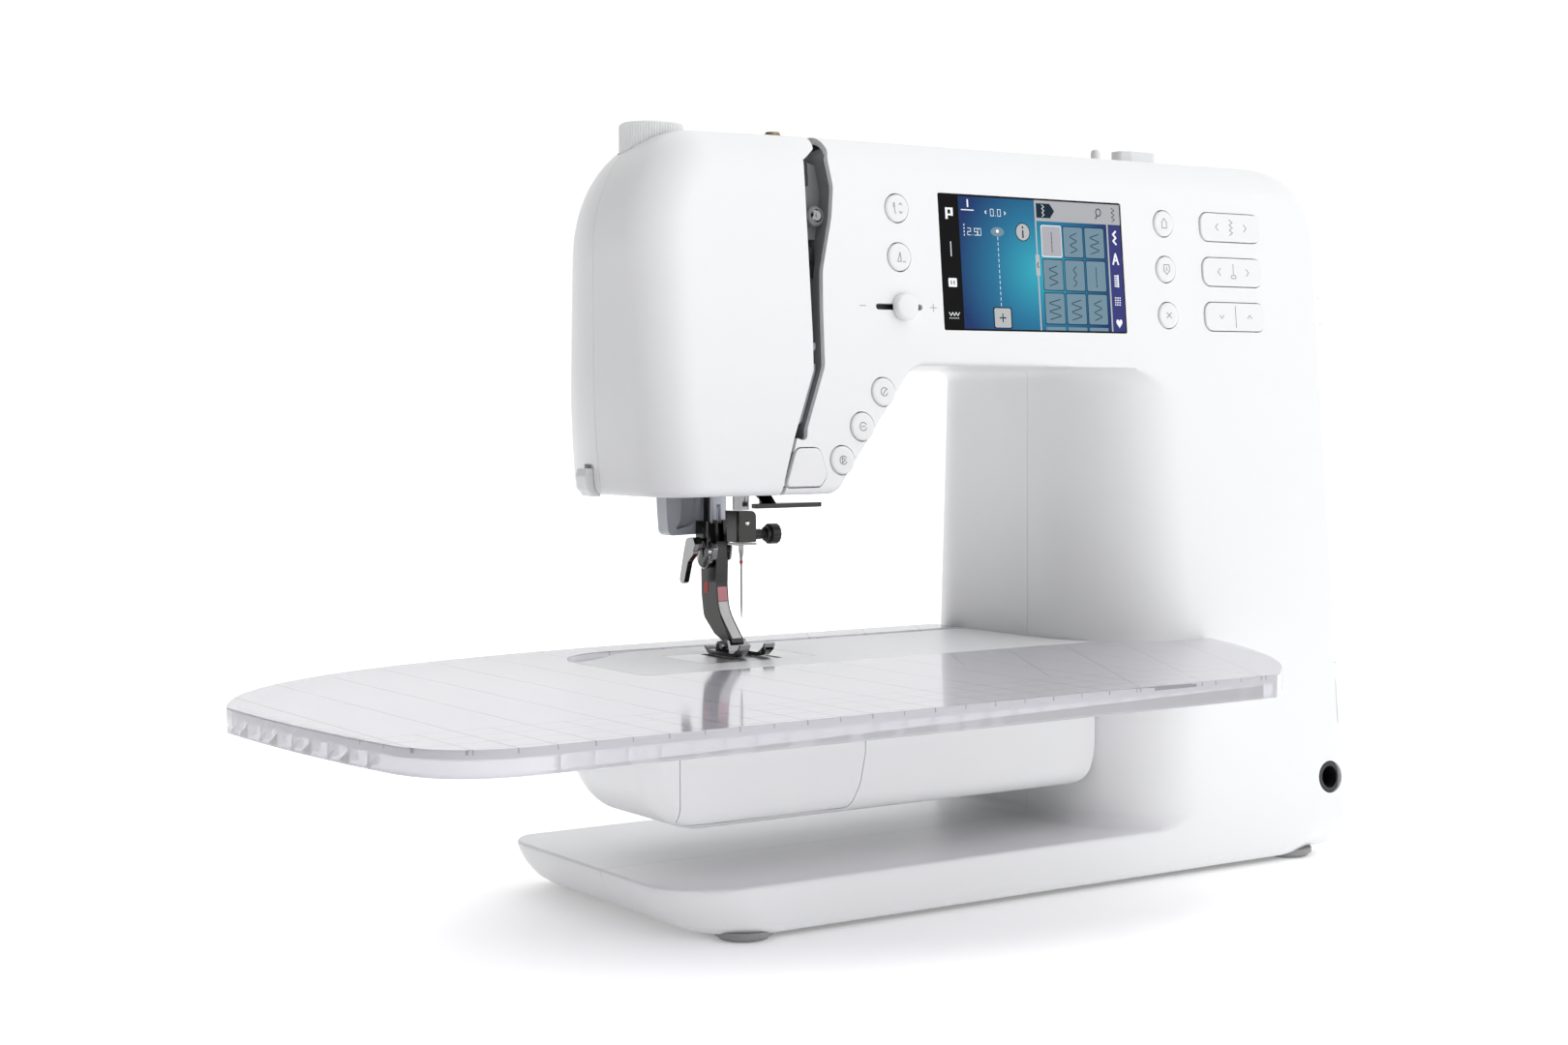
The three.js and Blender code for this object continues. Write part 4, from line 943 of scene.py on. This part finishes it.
def build_display():
    black = glow_paint("display_black", (0.004, 0.004, 0.005), 0.1)
    white = glow_paint("display_white", (0.85, 0.87, 0.90), 0.7)
    header = glow_paint("display_header", (0.42, 0.43, 0.45), 0.6)
    tile = glow_paint("display_tile", (0.17, 0.27, 0.34), 0.6)
    lit = glow_paint("display_lit_tile", (0.42, 0.42, 0.45), 0.6)
    navy = glow_paint("display_navy", (0.04, 0.045, 0.19), 0.6)
    dark = glow_paint("display_dark", (0.01, 0.03, 0.05), 0.3)
    grey = glow_paint("display_grey", (0.48, 0.49, 0.50), 0.6)
    left, right, low, top = SCREEN

    def spot(u, v):
        return left + (right - left) * u, top - (top - low) * v

    def area(u0, u1, v0, v1, r=0.0):
        (x0, z1), (x1, z0) = spot(u0, v0), spot(u1, v1)
        return box_line(x0, x1, z0, z1, r, 4)

    edge = (box_line(left - 0.15, right + 0.15, low - 0.15, top + 0.15, 1.0, 5), 0.34, 9.0, black)
    backdrop = (box_line(left + 0.5, right - 0.5, low + 0.5, top - 0.5, 0.9, 5), 0.32, 0.4, display_blend())
    parts = [edge, backdrop]

    def put(line, level, material):
        parts.append((line, 0.30 - 0.02 * level, 0.31, material))

    def draw(points, width, level, material):
        for strip in stroke([spot(u, v) for u, v in points], width):
            put(strip, level, material)

    def zigzag(u, v, sway, pitch, count, width, level, material):
        for k in range(count):
            s = sway if k % 2 else -sway
            draw([(u + s, v + k * pitch), (u - s, v + (k + 1) * pitch)], width, level, material)

    def oval(u, v, wide, high, corners):
        turns = np.linspace(0, 2 * math.pi, corners, endpoint=False)
        return [spot(u + wide * math.cos(t), v + high * math.sin(t)) for t in turns]

    put(area(0.004, 0.105, 0.008, 0.992), 1, black)
    put(area(0.515, 0.996, 0.008, 0.165), 1, header)
    put(area(0.515, 0.522, 0.165, 0.992), 1, grey)
    put(area(0.925, 0.996, 0.175, 0.992), 1, navy)
    put(area(0.917, 0.925, 0.165, 0.992), 1, grey)
    stitch_widths = (0.0, 0.018, 0.024, 0.022, 0.008, 0.0, 0.03, 0.026, 0.02)
    for row in range(3):
        for col in range(3):
            u, v = 0.548 + 0.121 * col, 0.20 + 0.255 * row
            first = row == 0 and col == 0
            put(area(u - 0.003, u + 0.110, v - 0.006, v + 0.235, 0.7), 1, white if first else dark)
            put(area(u, u + 0.107, v, v + 0.229, 0.6), 2, lit if first else tile)
            for k in range(5):
                sway = stitch_widths[row * 3 + col] * (1 if k % 2 else -1)
                start, end = v + 0.045 + k * 0.032, v + 0.045 + (k + 0.8) * 0.032
                draw([(u + 0.054 - sway, start), (u + 0.054 + sway, end)], 0.32, 3, dark)
    for col in range(3):
        u = 0.548 + 0.121 * col
        put(area(u, u + 0.107, 0.965, 0.99, 0.3), 2, tile)
    arrow = ((0.525, 0.03), (0.60, 0.03), (0.625, 0.085), (0.60, 0.14), (0.525, 0.14))
    put(polyline([spot(u, v) for u, v in arrow], 2), 2, dark)
    zigzag(0.562, 0.04, 0.006, 0.015, 6, 0.25, 3, white)
    put(area(0.845, 0.905, 0.02, 0.145, 0.5), 2, lit)
    glass = [(0.874 + 0.014 * math.cos(t), 0.075 + 0.028 * math.sin(t)) for t in np.linspace(0, 2 * math.pi,
                                                                                             13)]
    draw(glass, 0.4, 3, dark)
    draw([(0.866, 0.10), (0.858, 0.125)], 0.5, 3, dark)
    zigzag(0.958, 0.035, 0.008, 0.018, 6, 0.3, 2, dark)

    zigzag(0.96, 0.215, -0.008, 0.025, 4, 0.8, 2, white)
    draw([(0.945, 0.47), (0.96, 0.39), (0.975, 0.47)], 0.8, 2, white)
    draw([(0.951, 0.44), (0.969, 0.44)], 0.7, 2, white)
    for k in range(6):
        draw([(0.948, 0.56 + k * 0.016), (0.962, 0.56 + k * 0.016)], 0.45, 2, white)
    draw([(0.968, 0.555), (0.968, 0.645)], 0.7, 2, white)
    for i in range(4):
        for j in range(4):
            put(area(0.944 + 0.009 * i, 0.949 + 0.009 * i, 0.725 + 0.018 * j, 0.735 + 0.018 * j), 2, white)
    heart = []
    for t in np.linspace(0, 2 * math.pi, 28, endpoint=False):
        lobes = 13 * math.cos(t) - 5 * math.cos(2 * t) - 2 * math.cos(3 * t) - math.cos(4 * t)
        heart.append(spot(0.962 + 0.0011 * 16 * math.sin(t) ** 3, 0.925 - 0.0024 * lobes))
    put(heart, 2, white)

    for extent in ((0.035, 0.075, 0.10, 0.115), (0.035, 0.047, 0.115, 0.185), (0.062, 0.075, 0.115, 0.16),
                   (0.035, 0.075, 0.145, 0.158), (0.053, 0.057, 0.35, 0.46), (0.033, 0.077, 0.62, 0.685,
                                                                              0.4)):
        put(area(*extent), 2, white)
    for u in (0.045, 0.060):
        put(area(u, u + 0.005, 0.638, 0.667), 3, black)
    for k in range(6):
        s = 0.012 if k % 2 else -0.012
        draw([(0.028 + 0.009 * k, 0.885 + s), (0.037 + 0.009 * k, 0.885 - s)], 0.3, 2, white)
    for k in range(6):
        put(area(0.028 + 0.009 * k, 0.033 + 0.009 * k, 0.912, 0.918), 2, white)

    draw([(0.155, 0.035), (0.155, 0.085)], 0.7, 1, white)
    draw([(0.12, 0.11), (0.185, 0.11)], 0.4, 1, white)
    for k in range(4):
        put(area(0.128, 0.132, 0.215 + 0.025 * k, 0.228 + 0.025 * k), 1, white)

    def digit(symbol, u, v, w=0.016, h=0.05):
        a, b, c, d, e, f = (u, v), (u + w, v), (u, v + h / 2), (u + w, v + h / 2), (u, v + h), (u + w, v + h)
        point = [(u + w / 2, v + h - 0.004), (u + w / 2, v + h)]
        paths = {"0": [a, b, f, e, a], "2": [a, b, d, c, e, f], "5": [b, a, c, d, f, e], ".": point}
        draw(paths[symbol], 0.22, 1, white)

    for k, symbol in enumerate("0.0"):
        digit(symbol, 0.275 + 0.019 * k, 0.095)
    draw([(0.252, 0.11), (0.246, 0.12), (0.252, 0.13)], 0.4, 1, white)
    draw([(0.350, 0.11), (0.356, 0.12), (0.350, 0.13)], 0.4, 1, white)
    for k, symbol in enumerate("2.50"):
        digit(symbol, 0.148 + 0.018 * k, 0.245)
    for k in range(13):
        put(area(0.306, 0.3085, 0.30 + 0.041 * k, 0.325 + 0.041 * k), 1, white)
    put(oval(0.307, 0.262, 0.036, 0.035, 24), 1, tile)
    put(oval(0.307, 0.258, 0.008, 0.013, 14), 2, white)
    put(oval(0.445, 0.255, 0.040, 0.070, 28), 1, dark)
    put(oval(0.445, 0.255, 0.036, 0.063, 28), 2, grey)
    draw([(0.445, 0.245), (0.445, 0.295)], 0.7, 3, dark)
    draw([(0.445, 0.215), (0.445, 0.225)], 0.7, 3, dark)
    put(area(0.262, 0.362, 0.825, 0.985, 0.8), 1, dark)
    put(area(0.268, 0.356, 0.833, 0.977, 0.7), 2, grey)
    draw([(0.312, 0.875), (0.312, 0.935)], 0.5, 3, dark)
    draw([(0.296, 0.905), (0.328, 0.905)], 0.5, 3, dark)
    put(area(0.508, 0.530, 0.42, 0.58, 0.4), 2, grey)
    draw([(0.521, 0.48), (0.516, 0.50), (0.521, 0.52)], 0.4, 3, dark)
    screen = plates("display_picture", parts, "housing")
    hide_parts("touchscreen")


def build_slot():
    line = polyline([(-39, 296.6, 1), (-39, 224), (-39.6, 212), (-50, 187), (-46, 181.2, 1),
                     (-38.6, 181.2, 2), (-38, 188, 3), (-28.2, 212, 8),
                     (-27.8, 234, 20), (-27, 249, 25), (-21.6, 269.3, 14), (-20.2, 281, 12),
                     (-21.6, 296.6, 1)], 8)
    channel = prism("channel", line, 3.2, 20, "panel")
    carve(channel, prism("channel_cut", slot_line(), 0, 15, "panel"))
    carve(channel, prism("take_up_way", box_line(-35, -31, 225, 262, 1.5), 13, 22, "panel"))
    join(channel, shape("ledge", [(-36, 262, 1), (-24.5, 262, 3), (-22, 276, 4), (-22.5, 290, 3),
                                  (-36, 294, 1)], 9.5, 17, "panel", 5))
    carve(channel, prism("ledge_cut", box_line(-34.6, -31.4, 284, 293, 0.8), 5, 16, "panel"))
    dress(channel, GREY, "grey_plastic", "housing", "thread_channel", width=0.4)
    lower = shape("lower_guide", [(-36.6, 222, 0.5), (-31.4, 222, 0.5), (-32.2, 211, 4), (-40.0, 191, 2),
                                  (-43.6, 191, 1), (-37, 209.5, 3)], 5.0, 14.5, "panel", 6)
    carve(lower, prism("lower_guide_step", box_line(-40, -28, 214, 219, 0.8), 4, 7.5, "panel"))
    dress(lower, LIGHT_GREY, "light_grey_plastic", "housing", width=0.5)
    boss = lathe("screw_boss", [(0, 9.8), (3.9, 9.8), (3.9, 5.6), (3.3, 5.0), (0, 5.0)], 40,
                 on_panel(-28.2, 270.5))
    dress(boss, GREY, "grey_plastic", "housing", width=0)
    screw = lathe("slot_screw", [(0, 6), (2.5, 6), (2.5, 4.7), (1.9, 4.1), (0.9, 4.0), (0, 4.5)], 40,
                  on_panel(-28.2, 270.5))
    dress(screw, CHROME, "chrome", "housing", "tension_unit", width=0)
    for name, x, z, w, h in (("upper_disc_holder", -33.4, 287.5, 3.2, 5.5),
                             ("lower_disc_holder", -32.6, 252.6, 3.4, 5.8)):
        holder = prism(name, box_line(x - w, x + w, z - h, z + h, 0.7), 6.5, 12, "panel")
        carve(holder, prism("window", circle(x, z, 1.9, 28), 5, 8.5, "panel"))
        dress(holder, BLACK, "black_plastic", "housing", width=0.35)
        disc = lathe(name.replace("holder", "rivet"), [(0, 8.8), (1.3, 8.8), (1.3, 7.3), (0.8, 6.9),
                                                       (0, 6.9)], 24, on_panel(x, z))
        dress(disc, CHROME, "chrome", "housing", width=0)


def build_top_and_side():
    dial_line = ring_line(*DIAL_AT, 216, lambda i: 12.4 - (0.55 if i % 3 == 0 else 0))
    dial = prism("dial_rim", dial_line, 284, 304.6, "z")
    join(dial, lathe("dial_cap", [(0, 18), (11.9, 18), (11.9, 20.9), (11.3, 21.4), (0, 21.4)], 72,
                     at(*DIAL_AT, 284)))
    dress(dial, WHITE, "white_plastic", "dial", "pressure_dial", width=0.12, segments=2, angle=30)
    stud = lathe("guide_stud", [(0, -8), (2.5, -8), (2.5, 0.6), (3.6, 0.8), (3.6, 1.4), (1.6, 1.8),
                                (1.5, 4.8), (3.1, 5.4), (3.3, 6.4), (2.8, 7.4), (0, 7.6)], 36,
                 at(*STUD_AT, BODY_TOP))
    dress(stud, BRASS, "brushed_steel", "housing", "top_thread_guide", width=0)
    spindle = lathe("spindle", [(0, -20), (3.5, -20), (3.5, 0.4), (3, 1), (2.1, 1.2), (2.1, 8.6), (1.7, 10),
                                (0.9, 10.4), (0, 10.5)], 36, at(*SPINDLE_AT, BODY_TOP))
    dress(spindle, WHITE, "white_plastic", "winder", "winder_spindle", width=0)
    stop = shape("winder_stop_lever", [(172.5, 62, 2), (178, 60, 3), (194.5, 60.5, 4.4), (194.5, 69.5, 4.4),
                                       (178, 70, 3), (172.5, 68, 2)], 302, 311.2, "z", 8)
    join(stop, lathe("stop_pin", [(0, 0), (2.5, 0), (2.5, 13), (0, 13)], 32, at(184.5, 65, 291)))
    dress(stop, WHITE, "white_plastic", "winder_stop", "winder_lever", width=0.9, segments=4)

    wheel_line = ring_line(SHAFT_Y, SHAFT_Z, 144, lambda i: 23.9 - (0.7 if i % 12 in (0, 1) else 0))
    wheel = prism("wheel_rim", wheel_line, 243, 258, "x")
    join(wheel, lathe("wheel_core", [(0, 0), (19, 0), (21.5, 1.2), (23.4, 4), (23.4, 17), (21.4, 22),
                                     (17, 25.2), (14.5, 26.4), (13, 26.3), (12, 25), (0, 24.2)],
                      96, at(239.5, SHAFT_Y, SHAFT_Z, "x")))
    dress(wheel, WHITE, "white_plastic", "drive_shaft", "handwheel", width=0.35)

    grip = polyline([(-20, 289, 5), (150, 289, 5), (150, 232, 16), (-20, 232, 16)], 10)
    handle = prism("handle_loop", grip, 122.6, 130.4, "y")
    carve(handle, shape("handle_hole", [(-12, 320), (142, 320), (142, 244, 8), (-12, 244, 8)], 100, 140,
                        "y", 8))
    dress(handle, LIGHT_GREY, "light_grey_plastic", "handle", "carrying_handle", width=1.6, segments=5)

    for i, (x, y) in enumerate(((-73, -7), (210, -6), (-73, 110), (210, 112)), 1):
        profile = [(0, 0), (8.6, 0), (9.2, 0.25), (9.4, 0.7), (10.9, 1.6), (11, 2), (11, 3.7), (0, 3.7)]
        foot = lathe(f"foot_pad_{i}", profile, 56, at(x, y, 0))
        dress(foot, RUBBER, "rubber", "housing", f"rubber_foot_{i}", width=0)

    lens = prism("lamp_lens_strip", box_line(83.3, 96.7, 2.7, 10.7, 1.8), 213.4, 218, "z")
    for i in range(4):
        carve(lens, block("rib", 84.6 + i * 3, 85.4 + i * 3, 3.4, 10, 212, 213.9))
    dress(lens, LENS, "lamp_lens", "housing", "lamp", width=0.3)


def finish_cad():
    """The CAD nodes that still show take their procedural finish."""
    finishes = {
        "base_plate": (GREY, "base_paint"), "cast_frame": (CAST, "cast_aluminium"),
        "main_motor": (PAINT, "motor_paint"),
        "drive_belt": (RUBBER, "black_plastic"), "motor_pulley": (STEEL, "brushed_steel"),
        "main_shaft": (STEEL, "brushed_steel"),
        "lower_shaft": (STEEL, "brushed_steel"), "sewing_hook": (CHROME, "brushed_steel"),
        "bobbin_case": (CHROME, "chrome"),
        "needle_bar": (CHROME, "chrome"), "presser_bar": (CHROME, "chrome"),
        "knee_lifter_socket": (BLACK, "black_plastic"),
        "power_inlet": (BLACK, "black_plastic"), "power_switch": (BLACK, "black_plastic"),
        "spool_pin": (LIGHT_GREY, "light_grey_plastic"),
    }
    for node, (material, slot_name) in finishes.items():
        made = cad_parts[node]
        wear(made, material)
        smooth(made, 35)


build_table()
build_plate()
build_needle()
build_presser()
build_controls()
build_display()
build_slot()
build_top_and_side()
finish_cad()

# ---------- floor, light and camera ----------

def build_stage():
    far = 60000
    floor = new_object("floor", [(-far, -far, 0), (far, -far, 0), (far, far, 0), (-far, far, 0)],
                       [(0, 1, 2, 3)])
    paper = shader("floor_white", (0.93, 0.93, 0.93), 0.9, tone=0.004)
    nodes, links = paper.node_tree.nodes, paper.node_tree.links
    surface = nodes["Principled BSDF"]
    surface.inputs["Emission Color"].default_value = (1, 1, 1, 1)
    # The floor's own glow drops from 0.5 far out to 0.2 round the machine's footprint: a painted shadow
    # under and around the machine.
    place = nodes.new("ShaderNodeTexCoord")
    stretch = nodes.new("ShaderNodeMapping")
    stretch.inputs["Location"].default_value = (-0.065, -0.0785, 0)
    stretch.inputs["Scale"].default_value = (1.0, 1.5, 1.0)
    links.new(place.outputs["Object"], stretch.inputs["Vector"])
    reach = nodes.new("ShaderNodeVectorMath")
    reach.operation = "LENGTH"
    links.new(stretch.outputs["Vector"], reach.inputs[0])
    pool = spread(paper.node_tree, reach.outputs["Value"], 0.16, 0.27, 0.2, 0.5, "SMOOTHSTEP")
    links.new(pool, surface.inputs["Emission Strength"])
    floor.data.materials.append(paper)

    world = bpy.data.worlds.new("studio")
    bpy.context.scene.world = world
    world.use_nodes = True
    nodes, links = world.node_tree.nodes, world.node_tree.links
    split = nodes.new("ShaderNodeSeparateXYZ")
    links.new(nodes.new("ShaderNodeTexCoord").outputs["Generated"], split.inputs["Vector"])
    strength = None
    for axis, start, end, full in (("X", -0.6, 0.3, 1.06), ("Z", 0.45, 0.98, 0.6), ("Y", -0.1, -0.9, 0.28)):
        part = spread(world.node_tree, split.outputs[axis], start, end, 0, full, "SMOOTHSTEP")
        if strength is None:
            strength = part
            continue
        total = nodes.new("ShaderNodeMath")
        total.operation = "ADD"
        links.new(strength, total.inputs[0])
        links.new(part, total.inputs[1])
        strength = total.outputs["Value"]
    glow = nodes["Background"]
    glow.inputs["Color"].default_value = (0.99, 0.995, 1.0, 1)
    links.new(strength, glow.inputs["Strength"])

    camera = bpy.data.cameras.new("camera")
    camera.lens, camera.sensor_width = 53.33, 36
    camera.clip_start, camera.clip_end = 0.02, 400
    holder = bpy.data.objects.new("camera", camera)
    bpy.context.scene.collection.objects.link(holder)
    place = Vector((-531.7, -728.9, 196.4)) * MM
    yaw, pitch, roll = math.radians(33.4815), math.radians(2.806), math.radians(-0.230)
    ahead = Vector((math.sin(yaw) * math.cos(pitch), math.cos(yaw) * math.cos(pitch), -math.sin(pitch)))
    right = Vector((math.cos(yaw), -math.sin(yaw), 0))
    up = right.cross(ahead)
    right, up = (right * math.cos(roll) + up * math.sin(roll), up * math.cos(roll) - right * math.sin(roll))
    turn = Matrix((right, up, -ahead)).transposed()
    holder.matrix_world = Matrix.Translation(place) @ turn.to_4x4()
    bpy.context.scene.camera = holder
    bpy.context.scene.view_settings.view_transform = "Standard"


build_stage()
